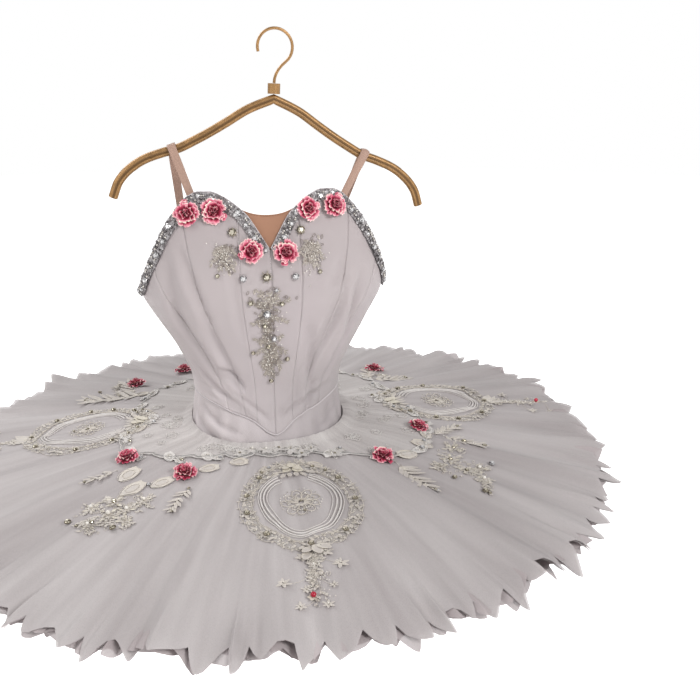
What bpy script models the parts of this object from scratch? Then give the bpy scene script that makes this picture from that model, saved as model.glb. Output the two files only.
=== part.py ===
"""Ballet tutu on its hanger: boned bodice, basque, knickers, three layers of net, lace and roses.

Run it with blender --background --python part.py, or from Blender's text editor.
Lengths are in metres, +Z is up and the front faces -Y, so the wearer's left is +X.
The hook's inside top, where a rail bears on it, is the origin. The garment is modelled about
the middle of its skirt, with heights counted from the skirt's edge, and hung from an empty.
Angles go round the body from the centre front, positive towards the wearer's left.
"""
import bisect
import math
from typing import Callable, NamedTuple

import bpy
from mathutils import Matrix, Vector

# ---------------------------------------------------------------- driving dimensions
HOOK_TO_RIM = 0.540          # height of the hook's seat above the skirt's edge
GARMENT_ASIDE = -0.017       # the garment hangs a little to one side of the hook
GARMENT_BACK = 0.030         # and its middle hangs a little behind it
HANGER_ROLL = math.radians(3.1)

WALL = 0.0015                # the bodice's cloth with its lining
SEAM_GAP = 0.0003
UNDER_GAP = 0.0010           # from a panel's inside to what is sewn behind it
ON_GAP = 0.0007              # from a panel's outside to what is sewn on it
BODY_POWER = 2.25            # 2 is an ellipse, more is squarer
BODY_ASIDE = -0.0045         # the bodice stands a little to one side of the skirt's middle


class Section(NamedTuple):
    """One level of the body that the garment is cut to."""
    height: float
    half_width: float
    front: float
    back: float


BODY = (
    Section(-0.200, 0.105, 0.095, 0.100),
    Section(-0.050, 0.115, 0.112, 0.112),
    Section(0.000, 0.111, 0.112, 0.108),
    Section(0.045, 0.102, 0.109, 0.102),
    Section(0.080, 0.096, 0.100, 0.090),
    Section(0.110, 0.0985, 0.099, 0.088),
    Section(0.150, 0.114, 0.104, 0.091),
    Section(0.205, 0.143, 0.111, 0.098),
    Section(0.225, 0.151, 0.112, 0.100),
    Section(0.260, 0.158, 0.110, 0.100),
    Section(0.300, 0.161, 0.100, 0.098),
    Section(0.360, 0.158, 0.079, 0.096),
    Section(0.420, 0.152, 0.060, 0.090),
)
CUP_ANGLE = math.radians(31)
CUP_SPREAD = math.radians(17)
CUP_HEIGHT = 0.270
CUP_REACH = 0.045
CUP_RISE = 0.006


class EdgeRow(NamedTuple):
    """One point of an edge that goes round the body."""
    degrees: float
    height: float


TOP_EDGE = (
    EdgeRow(0, 0.293),
    EdgeRow(3, 0.312),
    EdgeRow(7, 0.332),
    EdgeRow(10.5, 0.342),
    EdgeRow(16, 0.353),
    EdgeRow(22, 0.359),
    EdgeRow(27, 0.359),
    EdgeRow(32, 0.3545),
    EdgeRow(36, 0.3465),
    EdgeRow(41, 0.333),
    EdgeRow(47, 0.314),
    EdgeRow(56, 0.284),
    EdgeRow(66, 0.257),
    EdgeRow(77, 0.24),
    EdgeRow(92, 0.233),
    EdgeRow(130, 0.229),
    EdgeRow(180, 0.216),
)
BOTTOM_EDGE = (
    EdgeRow(0, 0.050),
    EdgeRow(14, 0.053),
    EdgeRow(25, 0.061),
    EdgeRow(38, 0.083),
    EdgeRow(58, 0.092),
    EdgeRow(90, 0.095),
    EdgeRow(180, 0.095),
)


class Seam(NamedTuple):
    """A seam of one half of the bodice, by its angle at the hem, half way up and at the top."""
    hem: float
    middle: float
    top: float


class Panel(NamedTuple):
    """A bodice panel between two seams."""
    name: str
    nearer: Seam
    farther: Seam
    columns: int


CENTRE_FRONT = Seam(0, 0, 0)
FRONT_SEAM = Seam(11.5, 11.0, 10.5)
PRINCESS_SEAM = Seam(20, 29, 36)
SIDE_FRONT_SEAM = Seam(34, 46, 56)
SIDE_SEAM = Seam(88, 88, 88)
CENTRE_BACK = Seam(180, 180, 180)
PANELS = (
    Panel("centre_front", CENTRE_FRONT, FRONT_SEAM, 2),
    Panel("side_front", FRONT_SEAM, PRINCESS_SEAM, 3),
    Panel("princess", PRINCESS_SEAM, SIDE_FRONT_SEAM, 3),
    Panel("side", SIDE_FRONT_SEAM, SIDE_SEAM, 6),
    Panel("back", SIDE_SEAM, CENTRE_BACK, 10),
)
PANEL_ROWS = 12

TRIM_WIDTH = 0.015
TRIM_END = 80.0              # degrees round the top edge, at the underarm
TRIM_STEPS = 36
TRIM_THICK = 0.0012
STONE_RISE = 0.0008

INSERT_HALF_ANGLE = 11.0
INSERT_HEIGHT = 0.333
INSERT_DIP = 0.010
INSERT_TUCK = 0.008
INSERT_THICK = 0.001

BASQUE_HEM = 0.035
BASQUE_TUCK = 0.014
BASQUE_LIFT = -(WALL + UNDER_GAP)
BASQUE_COLUMNS = 56

KNICKER_WALL = 0.0013
CROTCH_HEIGHT = -0.185
CROTCH_HALF_WIDTH = 0.034
CROTCH_ANGLE = 24.0
CROTCH_GAP = 0.0004
LEG_SIDE = Vector((0.112, 0.0, -0.035))
LEG_FRONT_PULL = Vector((0.052, -0.118, -0.155))
LEG_BACK_PULL = Vector((0.048, 0.128, -0.185))


class NetLayer(NamedTuple):
    """One layer of the skirt: its inner and outer heights, edge radii and number of points."""
    name: str
    inner_height: float
    rim_height: float
    notch_radius: float
    tip_radius: float
    points: int
    rows: tuple


TOP_NET = NetLayer("net_top", 0.044, 0.0, 0.449, 0.468, 72, (0.0, 0.30, 0.62, 0.85, 1.0))
NET_LAYERS = (
    TOP_NET,
    NetLayer("net_middle", 0.028, -0.012, 0.446, 0.463, 64, (0.0, 1.0)),
    NetLayer("net_lower", 0.014, -0.024, 0.438, 0.456, 60, (0.0, 1.0)),
)
NET_THICK = 0.0012
NET_INNER_RADIUS = 0.108
NET_SHAPE = 1.25             # the top layer leaves the hip flatter than it reaches its edge
FOLD_START = 0.26
FOLD_FULL = 0.46
FOLD_RISE = 0.0032


class Swell(NamedTuple):
    """A broad soft wave of the whole skirt's edge."""
    degrees: float
    spread: float
    lift: float


SWELLS = (
    Swell(117, 20, 0.010),
    Swell(-152, 22, -0.004),
    Swell(72, 12, -0.003),
    Swell(24, 9, -0.003),
    Swell(-35, 16, 0.003),
)

OVERLAY_RADIUS = 0.203
OVERLAY_SCALLOP = 0.006
OVERLAY_LOBES = 24
OVERLAY_COLUMNS = 96
OVERLAY_THICK = 0.001
LACE_THICK = 0.0012

RING_WIDE = 0.069
RING_BAND = 0.014
RING_LOBES = 10
RING_COLUMNS = 40
OVAL_LONG = 0.70             # of the ring's length
OVAL_WIDE = 0.0450
OVAL_BAND = 0.005
OVAL_COLUMNS = 28
ROSETTE_RADIUS = 0.022

ROSE_RADIUS = 0.0140
ROSE_HEIGHT = 0.011
ROSE_PETALS = 5

STRAP_WIDTH = 0.014
STRAP_THICK = 0.0012
STRAP_FRONT_ANGLE = math.radians(30)
STRAP_BACK_ANGLE = math.radians(150)
STRAP_TUCK = 0.015
STRAP_ON_ARM = 0.114
STRAP_LEAVES_FRONT = math.radians(43)
STRAP_LEAVES_BACK = math.radians(147)
STRAP_TURN_STEPS = 6
STRAP_CLEAR = 0.0012         # from the arm's middle stretch; its bend comes nearer


class ArmRow(NamedTuple):
    """A point of the hanger's arm: how far out, and how far below the hook's seat."""
    out: float
    drop: float


ARM = (
    ArmRow(0.000, 0.078),
    ArmRow(0.030, 0.091),
    ArmRow(0.055, 0.107),
    ArmRow(0.0725, 0.118),
    ArmRow(0.0925, 0.1295),
    ArmRow(0.114, 0.1405),
    ArmRow(0.129, 0.145),
    ArmRow(0.152, 0.154),
    ArmRow(0.170, 0.1665),
    ArmRow(0.183, 0.182),
    ArmRow(0.190, 0.201),
)
ARM_RADIUS = 0.0055
ARM_STEPS = 14
ARM_TIP_SCALE = 0.72
NECK_RADIUS = 0.0075
NECK_HEIGHT = 0.012
HOOK_WIRE = 0.00175
HOOK_INNER = 0.019
HOOK_FROM = math.radians(-50)
HOOK_TO = math.radians(198)
HOOK_STEPS = 22

# ---------------------------------------------------------------- finishes
IVORY_SATIN = ("ivory_satin", (0.74, 0.68, 0.70), 0.55, 0.0)
WHITE_NET = ("white_net", (0.72, 0.69, 0.68), 0.85, 0.0)
WHITE_LACE = ("white_lace", (0.78, 0.76, 0.74), 0.80, 0.0)
CREAM_LACE = ("cream_lace", (0.66, 0.61, 0.54), 0.75, 0.0)
SILVER_TRIM = ("silver_trim", (0.52, 0.53, 0.56), 0.30, 0.6)
NUDE_MESH = ("nude_mesh", (0.68, 0.45, 0.31), 0.75, 0.0)
PINK_RIBBON = ("pink_ribbon", (0.62, 0.40, 0.34), 0.50, 0.0)
ROSE_PINK = ("rose_pink", (0.66, 0.14, 0.22), 0.60, 0.0)
WHITE_KNIT = ("white_knit", (0.72, 0.70, 0.70), 0.80, 0.0)
GOLD_METAL = ("gold_metal", (0.55, 0.34, 0.10), 0.35, 0.8)


def finish(recipe: tuple) -> bpy.types.Material:
    """Return the named material, made the first time it is asked for."""
    name, colour, roughness, metallic = recipe
    material = bpy.data.materials.get(name)
    if material is None:
        material = bpy.data.materials.new(name)
        material.use_nodes = True
        shader = material.node_tree.nodes["Principled BSDF"]
        shader.inputs["Base Color"].default_value = (*colour, 1.0)
        shader.inputs["Roughness"].default_value = roughness
        shader.inputs["Metallic"].default_value = metallic
    return material


# ---------------------------------------------------------------- tables and meshes
def read_table(table: tuple, key: float) -> float:
    """Read the second column of a table at a value of its first, along a smooth curve."""
    return read_column(table, key, 1)


def read_column(table: tuple, key: float, column: int) -> float:
    """Read a column at a value of the first column, on a cubic that never overshoots the rows."""
    keys = [row[0] for row in table]
    values = [row[column] for row in table]
    if key <= keys[0]:
        return values[0]
    if key >= keys[-1]:
        return values[-1]
    slopes = [(values[i + 1] - values[i]) / (keys[i + 1] - keys[i]) for i in range(len(keys) - 1)]

    def tangent(index: int) -> float:
        if index in (0, len(keys) - 1):
            return slopes[min(index, len(slopes) - 1)]
        before, after = slopes[index - 1], slopes[index]
        return 2 * before * after / (before + after) if before * after > 0 else 0.0

    start = bisect.bisect_right(keys, key) - 1
    span = keys[start + 1] - keys[start]
    part = (key - keys[start]) / span
    low, high = values[start], values[start + 1]
    return (low + (high - low) * part * part * (3 - 2 * part)
            + span * part * (1 - part) * (tangent(start) * (1 - part) - tangent(start + 1) * part))


def add_mesh(name: str, points: list, faces: list, recipe: tuple, parent) -> bpy.types.Object:
    """Add one closed solid to the part's collection, hung on its parent."""
    mesh = bpy.data.meshes.new(name)
    mesh.from_pydata([tuple(point) for point in points], [], faces)
    mesh.validate()
    return add_object(name, mesh, recipe, parent)


def add_object(name: str, data, recipe: tuple, parent) -> bpy.types.Object:
    """Link an object with one material to the part's collection."""
    thing = bpy.data.objects.new(name, data)
    data.materials.append(finish(recipe))
    bpy.data.collections["ballet_tutu"].objects.link(thing)
    thing.parent = parent
    return thing


def add_wall(name: str, outer: list, inner: list, recipe: tuple, parent, wrap: bool = False) -> None:
    """Close two grids of points, the outside and the inside of one cloth, into a wall.

    Rows go up and columns go anticlockwise seen from above, so that outer faces point out.
    """
    rows, columns = len(outer), len(outer[0])
    points = [point for row in outer for point in row] + [point for row in inner for point in row]
    inside = rows * columns
    spans = columns if wrap else columns - 1
    faces = []

    def quad(a: int, b: int, c: int, d: int) -> None:
        faces.extend(((a, b, c), (a, c, d)))

    for column in range(spans):
        after = (column + 1) % columns
        for row in range(rows - 1):
            low, low_after = row * columns + column, row * columns + after
            high, high_after = low + columns, low_after + columns
            quad(low, low_after, high_after, high)
            faces.extend(((low + inside, high_after + inside, low_after + inside),
                          (low + inside, high + inside, high_after + inside)))
        top, top_after = (rows - 1) * columns + column, (rows - 1) * columns + after
        quad(column, column + inside, after + inside, after)
        quad(top, top_after, top_after + inside, top + inside)
    if not wrap:
        last = columns - 1
        for row in range(rows - 1):
            low, high = row * columns, (row + 1) * columns
            quad(low, high, high + inside, low + inside)
            quad(low + last, low + last + inside, high + last + inside, high + last)
    add_mesh(name, points, faces, recipe, parent)


# ---------------------------------------------------------------- the body's surface
def body_surface(angle: float, height: float) -> Vector:
    """Return the point of the bodice's outside at an angle and a height."""
    half_width = read_column(BODY, height, 1)
    sine, cosine = math.sin(angle), math.cos(angle)
    depth = read_column(BODY, height, 2 if cosine > 0 else 3)
    power = 2 / BODY_POWER
    across = math.copysign(abs(sine) ** power, sine)
    forward = math.copysign(abs(cosine) ** power, cosine)
    cup = math.exp(-((abs(angle) - CUP_ANGLE) / CUP_SPREAD) ** 2 - ((height - CUP_HEIGHT) / CUP_REACH) ** 2)
    return Vector((BODY_ASIDE + half_width * across, -depth * forward - CUP_RISE * cup, height))


def body_tangents(angle: float, height: float) -> tuple:
    """Return the surface's rates of change along the angle and along the height."""
    step = 1e-4
    around = (body_surface(angle + step, height) - body_surface(angle - step, height)) / (2 * step)
    upward = (body_surface(angle, height + step) - body_surface(angle, height - step)) / (2 * step)
    return around, upward


def on_body(angle: float, height: float, lift: float) -> Vector:
    """Return a point moved straight out of the body's surface, or into it where lift is negative."""
    around, upward = body_tangents(angle, height)
    return body_surface(angle, height) + around.cross(upward).normalized() * lift


def gap_angle(angle: float, height: float) -> float:
    """Return the angle that covers half of a seam's gap."""
    around, _ = body_tangents(angle, height)
    return SEAM_GAP / 2 / around.length


def step_on_body(angle: float, height: float, move: Vector) -> tuple:
    """Return the angle and height reached by a short move along the surface."""
    around, upward = body_tangents(angle, height)
    return angle + move.dot(around) / around.length_squared, height + move.dot(upward) / upward.length_squared


def top_height(angle: float) -> float:
    """Return the height of the bodice's top edge."""
    return read_table(TOP_EDGE, abs(math.degrees(angle)))


def bottom_height(angle: float) -> float:
    """Return the height of the bodice's pointed hem."""
    return read_table(BOTTOM_EDGE, abs(math.degrees(angle)))


# ---------------------------------------------------------------- bodice
def seam_angle(seam: Seam, share: float) -> float:
    """Return a seam's angle at a share of the panel's height, on a parabola through its row."""
    degrees = (seam.hem * (1 - share) * (1 - 2 * share) + seam.middle * 4 * share * (1 - share)
               + seam.top * share * (2 * share - 1))
    return math.radians(degrees)


def add_bodice_panel(panel: Panel, side: int, garment) -> None:
    """Add one panel, a wall of cloth and lining from the hem to the top edge."""
    outer, inner = [], []
    for row in range(PANEL_ROWS + 1):
        share = row / PANEL_ROWS
        start, end = seam_angle(panel.nearer, share), seam_angle(panel.farther, share)
        outer_row, inner_row = [], []
        for column in range(panel.columns + 1):
            angle = start + (end - start) * column / panel.columns
            height = bottom_height(angle) + (top_height(angle) - bottom_height(angle)) * share
            if column == 0:
                angle += gap_angle(angle, height)
            if column == panel.columns:
                angle -= gap_angle(angle, height)
            outer_row.append(on_body(side * angle, height, 0.0))
            inner_row.append(on_body(side * angle, height, -WALL))
        outer.append(outer_row[::side])
        inner.append(inner_row[::side])
    add_wall(f"bodice_{panel.name}_{side_name(side)}", outer, inner, IVORY_SATIN, garment)


def side_name(side: int) -> str:
    """Name a side of the wearer."""
    return "left" if side > 0 else "right"


def add_insert(garment) -> None:
    """Add the skin-coloured mesh that fills the point of the neckline, sewn behind its edges."""
    columns, rows = 10, 3
    lift = -(WALL + UNDER_GAP)
    grids = ([], [])
    for row in range(rows + 1):
        share = row / rows
        for grid, depth in zip(grids, (0.0, INSERT_THICK)):
            line = []
            for column in range(columns + 1):
                across = 2 * column / columns - 1
                angle = math.radians(across * INSERT_HALF_ANGLE)
                low = top_height(angle) - INSERT_TUCK
                high = INSERT_HEIGHT + INSERT_DIP * across * across
                line.append(on_body(angle, low + (high - low) * share, lift - depth))
            grid.append(line)
    add_wall("neckline_insert", *grids, NUDE_MESH, garment)


def edge_stations(steps: int) -> list:
    """Return angles that divide the trimmed top edge into equal lengths."""
    fine = [math.radians(TRIM_END) * i / 400 for i in range(401)]
    points = [body_surface(angle, top_height(angle)) for angle in fine]
    lengths = [0.0]
    for before, after in zip(points, points[1:]):
        lengths.append(lengths[-1] + (after - before).length)
    stations = []
    for step in range(steps + 1):
        index = min(bisect.bisect_left(lengths, lengths[-1] * step / steps), len(fine) - 1)
        stations.append(fine[index])
    return stations


def add_trim(side: int, garment) -> None:
    """Add the stone-set band that follows the top edge from the neckline's point to the underarm."""
    columns = []
    for index, angle in enumerate(edge_stations(TRIM_STEPS)):
        height = top_height(angle)
        ahead = body_surface(angle + 0.004, top_height(angle + 0.004))
        along = (ahead - body_surface(angle, height)).normalized()
        around, upward = body_tangents(angle, height)
        down = along.cross(around.cross(upward)).normalized()
        if index == 0:
            low_angle, low_height = 0.0, height - TRIM_WIDTH / abs(along.x)
            angle = low_angle = gap_angle(0.0, height)
        else:
            low_angle, low_height = step_on_body(angle, height, down * TRIM_WIDTH)
        thick = TRIM_THICK + STONE_RISE * (index % 2)
        columns.append([(low_angle, low_height, thick), (angle, height, thick)])
    grids = []
    for is_outer in (True, False):
        grid = []
        for row in range(2):
            line = [on_body(side * column[row][0], column[row][1], ON_GAP + column[row][2] * is_outer)
                    for column in columns]
            grid.append(line[::side])
        grids.append(grid)
    add_wall(f"edge_trim_{side_name(side)}", *grids, SILVER_TRIM, garment)


def add_basque(garment) -> None:
    """Add the hip band under the bodice's pointed hem, open at the centre back."""
    rows = 3
    grids = ([], [])
    for row in range(rows + 1):
        for grid, depth in zip(grids, (0.0, WALL)):
            line = []
            for column in range(BASQUE_COLUMNS + 1):
                angle = math.pi * (2 * column / BASQUE_COLUMNS - 1)
                if column in (0, BASQUE_COLUMNS):
                    angle -= math.copysign(gap_angle(angle, BASQUE_HEM), angle)
                high = bottom_height(angle) + BASQUE_TUCK
                height = BASQUE_HEM + (high - BASQUE_HEM) * row / rows
                line.append(on_body(angle, height, BASQUE_LIFT - depth))
            grid.append(line)
    add_wall("basque", *grids, IVORY_SATIN, garment)


# ---------------------------------------------------------------- knickers
def curve_point(start: Vector, pull: Vector, end: Vector, share: float) -> Vector:
    """Return a point of the curve that leaves start and reaches end heading from and to pull."""
    return start * (1 - share) ** 2 + pull * 2 * share * (1 - share) + end * share ** 2


def leg_edge(degrees: float, front: bool) -> Vector:
    """Return the lower edge: the crotch seam near the middle, and the leg opening outside it."""
    side = math.copysign(1.0, degrees)
    facing = -1 if front else 1
    if abs(degrees) <= CROTCH_ANGLE:
        return Vector((CROTCH_HALF_WIDTH * degrees / CROTCH_ANGLE, facing * CROTCH_GAP, CROTCH_HEIGHT))
    share = (abs(degrees) - CROTCH_ANGLE) / (90 - CROTCH_ANGLE)
    corner = Vector((CROTCH_HALF_WIDTH, facing * CROTCH_GAP, CROTCH_HEIGHT))
    point = curve_point(corner, LEG_FRONT_PULL if front else LEG_BACK_PULL, LEG_SIDE, share)
    point.y = facing * max(abs(point.y), SEAM_GAP / 2)
    return Vector((side * point.x, point.y, point.z))


def knicker_point(degrees: float, share: float, front: bool) -> Vector:
    """Return a point of the outside, from the basque's hem at 0 to the lower edge at 1."""
    angle = math.radians(degrees if front else 180 - degrees)
    hip = on_body(angle, BASQUE_HEM - 2 * SEAM_GAP, BASQUE_LIFT)
    edge = leg_edge(degrees, front)
    if abs(degrees) == 90:
        hip.y = edge.y
    pull = Vector(((hip.x + edge.x) / 2, hip.y * 1.08, edge.z * 0.8))
    return curve_point(hip, pull, edge, share)


def knickers_at(angle: float, height: float) -> Vector:
    """Return the point of the knickers' outside at an angle and a height, by halving the interval."""
    degrees = math.degrees(math.atan2(math.sin(angle), math.cos(angle)))
    front = abs(degrees) <= 90
    degrees = degrees if front else math.copysign(180, degrees) - degrees
    low, high = 0.0, 1.0
    for _ in range(24):
        middle = (low + high) / 2
        if knicker_point(degrees, middle, front).z > height:
            low = middle
        else:
            high = middle
    return knicker_point(degrees, low, front)


def add_knickers(front: bool, garment) -> None:
    """Add the front or the back of the knickers that carry the net."""
    columns, rows = 16, 6
    grids = ([], [])
    for row in range(rows, -1, -1):
        outer_row, inner_row = [], []
        for column in range(columns + 1):
            point = knicker_point(180 * column / columns - 90, row / rows, front)
            outward = Vector((point.x, point.y, min(0.0, point.z + 0.10) * 1.2)).normalized()
            outer_row.append(point)
            inner_row.append(point - outward * KNICKER_WALL)
        order = 1 if front else -1
        grids[0].append(outer_row[::order])
        grids[1].append(inner_row[::order])
    add_wall("knickers_front" if front else "knickers_back", *grids, WHITE_KNIT, garment)


# ---------------------------------------------------------------- skirt
def fold_depth(radius: float) -> float:
    """Return how deep the gathered folds are at a radius."""
    share = max(0.0, (radius - FOLD_START) / (FOLD_FULL - FOLD_START))
    return FOLD_RISE * min(share, 1.15) ** 2


def skirt_height(layer: NetLayer, radius: float, angle: float) -> float:
    """Return a layer's height without its folds: its cone, and the swells of the whole skirt."""
    share = (radius - NET_INNER_RADIUS) / (TOP_NET.notch_radius - NET_INNER_RADIUS)
    bend = NET_SHAPE if layer is TOP_NET else 1.0
    height = layer.inner_height + (layer.rim_height - layer.inner_height) * max(share, 0.0) ** bend
    for swell in SWELLS:
        off = (math.degrees(angle) - swell.degrees + 180) % 360 - 180
        height += swell.lift * math.exp(-(off / swell.spread) ** 2) * max(share, 0.0) ** 2
    return height


def polar(radius: float, angle: float, height: float) -> Vector:
    """Return a point of the skirt by its radius and its angle from the front."""
    return Vector((radius * math.sin(angle), -radius * math.cos(angle), height))


def net_seam(layer: NetLayer, angle: float) -> Vector:
    """Return where a layer meets the basque, or the knickers below it, as a point on the plan."""
    if layer.inner_height > BASQUE_HEM:
        seat = on_body(angle, layer.inner_height, BASQUE_LIFT)
    else:
        seat = knickers_at(angle, layer.inner_height - NET_THICK / 2)
    flat = Vector((seat.x, seat.y, 0.0))
    return flat + flat.normalized() * ON_GAP


def add_net(layer: NetLayer, garment) -> None:
    """Add one layer of net: a gathered disc with a pointed edge, a ridge to each point."""
    columns = 2 * layer.points
    outer = []
    for share in reversed(layer.rows):
        line = []
        for column in range(columns):
            angle = math.tau * column / columns
            is_tip = column % 2 == 0
            rim = layer.tip_radius if is_tip and share == 1.0 else layer.notch_radius
            edge = polar(rim, angle, 0.0)
            point = net_seam(layer, angle).lerp(edge, share)
            radius = point.length
            fold = fold_depth(radius) * (1 if is_tip else -1)
            point.z = skirt_height(layer, radius, angle) + fold
            line.append(point)
        outer.append(line)
    under = [[point - Vector((0, 0, NET_THICK)) for point in line] for line in outer]
    add_wall(layer.name, outer, under, WHITE_NET, garment, wrap=True)


def seat_height(radius: float, angle: float, lift: float) -> float:
    """Return the height just above the net's ridges, and above the overlay where it lies."""
    off_overlay = min(max((radius - OVERLAY_RADIUS - 2 * OVERLAY_SCALLOP) / 0.012, 0.0), 1.0)
    stack = ON_GAP + (OVERLAY_THICK + ON_GAP) * (1 - off_overlay)
    return skirt_height(TOP_NET, radius, angle) + fold_depth(radius) + stack + lift


def add_overlay(garment) -> None:
    """Add the scalloped lace yoke that covers the gathers over the hip."""
    grids = ([], [])
    for share in (1.0, 0.5, 0.0):
        for grid, lift in zip(grids, (OVERLAY_THICK, 0.0)):
            line = []
            for column in range(OVERLAY_COLUMNS):
                angle = math.tau * column / OVERLAY_COLUMNS
                scallop = OVERLAY_SCALLOP * abs(math.sin(OVERLAY_LOBES * angle / 2))
                edge = polar(OVERLAY_RADIUS + scallop, angle, 0.0)
                point = net_seam(TOP_NET, angle).lerp(edge, share)
                height = skirt_height(TOP_NET, point.length, angle) + ON_GAP + lift
                line.append(Vector((point.x, point.y, height)))
            grid.append(line)
    add_wall("hip_overlay", *grids, WHITE_LACE, garment, wrap=True)


# ---------------------------------------------------------------- lace on the skirt
def on_skirt(middle: float, along: float, aside: float, lift: float) -> Vector:
    """Return a point on the skirt by its radius and its sideways distance from a spoke's line."""
    spoke = polar(along, middle, 0.0)
    point = spoke + Vector((math.cos(middle), math.sin(middle), 0.0)) * aside
    radius = point.length
    angle = math.atan2(point.x, -point.y)
    return Vector((point.x, point.y, seat_height(radius, angle, lift)))


class Medallion(NamedTuple):
    """An oval of lace on the skirt: its angle, its middle's radius and half its length along the spoke."""
    name: str
    degrees: float
    middle: float
    long: float


MEDALLIONS = (
    Medallion("medallion_front", 1.2, 0.2235, 0.077),
    Medallion("medallion_left", 96, 0.250, 0.084),
    Medallion("medallion_right", -96, 0.250, 0.084),
)


def add_lace_ring(name: str, spot: Medallion, size: tuple, lobes: int, columns: int, garment) -> None:
    """Add an oval ring of lace, with a lobed outer edge where lobes is more than none."""
    long_half, wide_half, band = size
    middle = math.radians(spot.degrees)
    grids = ([], [])
    for inset in (0.0, band):
        for grid, lift in zip(grids, (LACE_THICK, 0.0)):
            line = []
            for column in range(columns):
                turn = math.tau * column / columns
                lobe = 0.005 * math.cos(lobes * turn) if lobes and inset == 0.0 else 0.0
                along = spot.middle - (long_half - inset + lobe) * math.cos(turn)
                aside = (wide_half - inset + lobe) * math.sin(turn)
                line.append(on_skirt(middle, along, aside, lift))
            grid.append(line[::-1])
    add_wall(name, *grids, CREAM_LACE, garment, wrap=True)


class Ring(NamedTuple):
    """One ring of a flower: its share of the radius and of the height, and its ripple."""
    radius: float
    height: float
    ripple: float


ROSE_RINGS = (Ring(0.80, 0.0, 0.0), Ring(1.00, 0.40, 0.10), Ring(0.66, 0.82, -0.12), Ring(0.30, 0.80, 0.0))
ROSETTE_RINGS = (Ring(0.96, 0.0, 0.14), Ring(1.00, 0.60, 0.14), Ring(0.35, 1.0, 0.0))


def add_flower(name: str, rings: tuple, petals: int, size: tuple, place: Matrix, recipe: tuple,
               garment) -> None:
    """Add a flower of stacked rippled rings on a flat back, placed by its own matrix."""
    radius, height = size
    columns = petals * 3 if petals < 6 else petals * 2
    points = [Vector((0, 0, 0)), Vector((0, 0, height))]
    for ring in rings:
        for column in range(columns):
            turn = math.tau * column / columns
            reach = radius * ring.radius * (1 + ring.ripple * math.cos(petals * turn))
            points.append(Vector((reach * math.cos(turn), reach * math.sin(turn), height * ring.height)))
    faces = []
    for column in range(columns):
        after = (column + 1) % columns
        faces.append((0, 2 + after, 2 + column))
        last = 2 + (len(rings) - 1) * columns
        faces.append((1, last + column, last + after))
        for ring in range(len(rings) - 1):
            low, low_after = 2 + ring * columns + column, 2 + ring * columns + after
            faces.append((low, low_after, low_after + columns))
            faces.append((low, low_after + columns, low + columns))
    flower = add_mesh(name, points, faces, recipe, garment)
    flower.matrix_local = place


def facing_matrix(point: Vector, normal: Vector, turn: float = 0.0) -> Matrix:
    """Return the place of something that stands on a surface with its own Z along the normal."""
    tilt = Vector((0, 0, 1)).rotation_difference(normal).to_matrix().to_4x4()
    return Matrix.Translation(point) @ tilt @ Matrix.Rotation(turn, 4, "Z")


def skirt_matrix(radius: float, angle: float) -> Matrix:
    """Return the place of something that lies on the skirt, tilted with its cone."""
    reach = 0.012
    inner, outer = seat_height(radius - reach, angle, 0), seat_height(radius + reach, angle, 0)
    slope = (outer - inner) / (2 * reach)
    normal = Vector((-slope * math.sin(angle), slope * math.cos(angle), 1.0)).normalized()
    height = max(seat_height(radius, angle, 0), (inner + outer) / 2)
    return facing_matrix(polar(radius, angle, height), normal, angle)


def add_strip(name: str, place: Callable, half_width: Callable, steps: int, recipe: tuple,
              garment) -> None:
    """Add a lobed strip of lace: place(share, aside, lift) gives its points along its spine."""
    grids = ([], [])
    for across in (-1, 0, 1):
        for grid, lift in zip(grids, (LACE_THICK, 0.0)):
            line = [place(step / steps, across * half_width(step / steps), lift)
                    for step in range(steps + 1)]
            grid.append(line)
    add_wall(name, *grids, recipe, garment)


def lobed_width(widest: float, lobes: int) -> Callable:
    """Return a half width that swells into lobes and tapers to both ends."""
    def width(share: float) -> float:
        taper = 0.25 + 0.75 * math.sin(math.pi * min(max(share, 0.0), 1.0)) ** 0.6
        return widest * taper * (0.55 + 0.45 * abs(math.sin(lobes * math.pi * share)))
    return width


class Spray(NamedTuple):
    """A lace branch on the skirt: the line that it follows and its half width."""
    name: str
    degrees: float
    start: float
    end: float
    half_width: float
    lobes: int
    steps: int


SPRAYS = (
    Spray("spray_front_left", 45, 0.222, 0.335, 0.015, 3, 12),
    Spray("spray_front_right", -48, 0.222, 0.335, 0.015, 3, 12),
    Spray("spray_back_left", 128, 0.212, 0.245, 0.012, 1, 5),
    Spray("spray_back_right", -128, 0.222, 0.300, 0.012, 2, 8),
    Spray("medallion_front_tail", 0.4, 0.307, 0.402, 0.011, 2, 8),
    Spray("medallion_left_tail", 96, 0.340, 0.426, 0.011, 2, 8),
    Spray("medallion_right_tail", -96, 0.340, 0.426, 0.011, 2, 8),
)


def add_spray(spray: Spray, garment) -> None:
    """Add one lace branch along a spoke of the skirt."""
    middle = math.radians(spray.degrees)

    def place(share: float, aside: float, lift: float) -> Vector:
        along = spray.end + (spray.start - spray.end) * share
        return on_skirt(middle, along, -aside, lift)

    add_strip(spray.name, place, lobed_width(spray.half_width, spray.lobes), spray.steps, CREAM_LACE,
              garment)


def add_medallion(spot: Medallion, garment) -> None:
    """Add an oval medallion: a lobed ring, a plain ring and a rosette."""
    add_lace_ring(f"{spot.name}_ring", spot, (spot.long, RING_WIDE, RING_BAND), RING_LOBES, RING_COLUMNS, garment)
    add_lace_ring(f"{spot.name}_oval", spot, (spot.long * OVAL_LONG, OVAL_WIDE, OVAL_BAND), 0, OVAL_COLUMNS, garment)
    place = skirt_matrix(spot.middle, math.radians(spot.degrees))
    add_flower(f"{spot.name}_rosette", ROSETTE_RINGS, 8, (ROSETTE_RADIUS, 0.0018), place, CREAM_LACE, garment)


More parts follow.
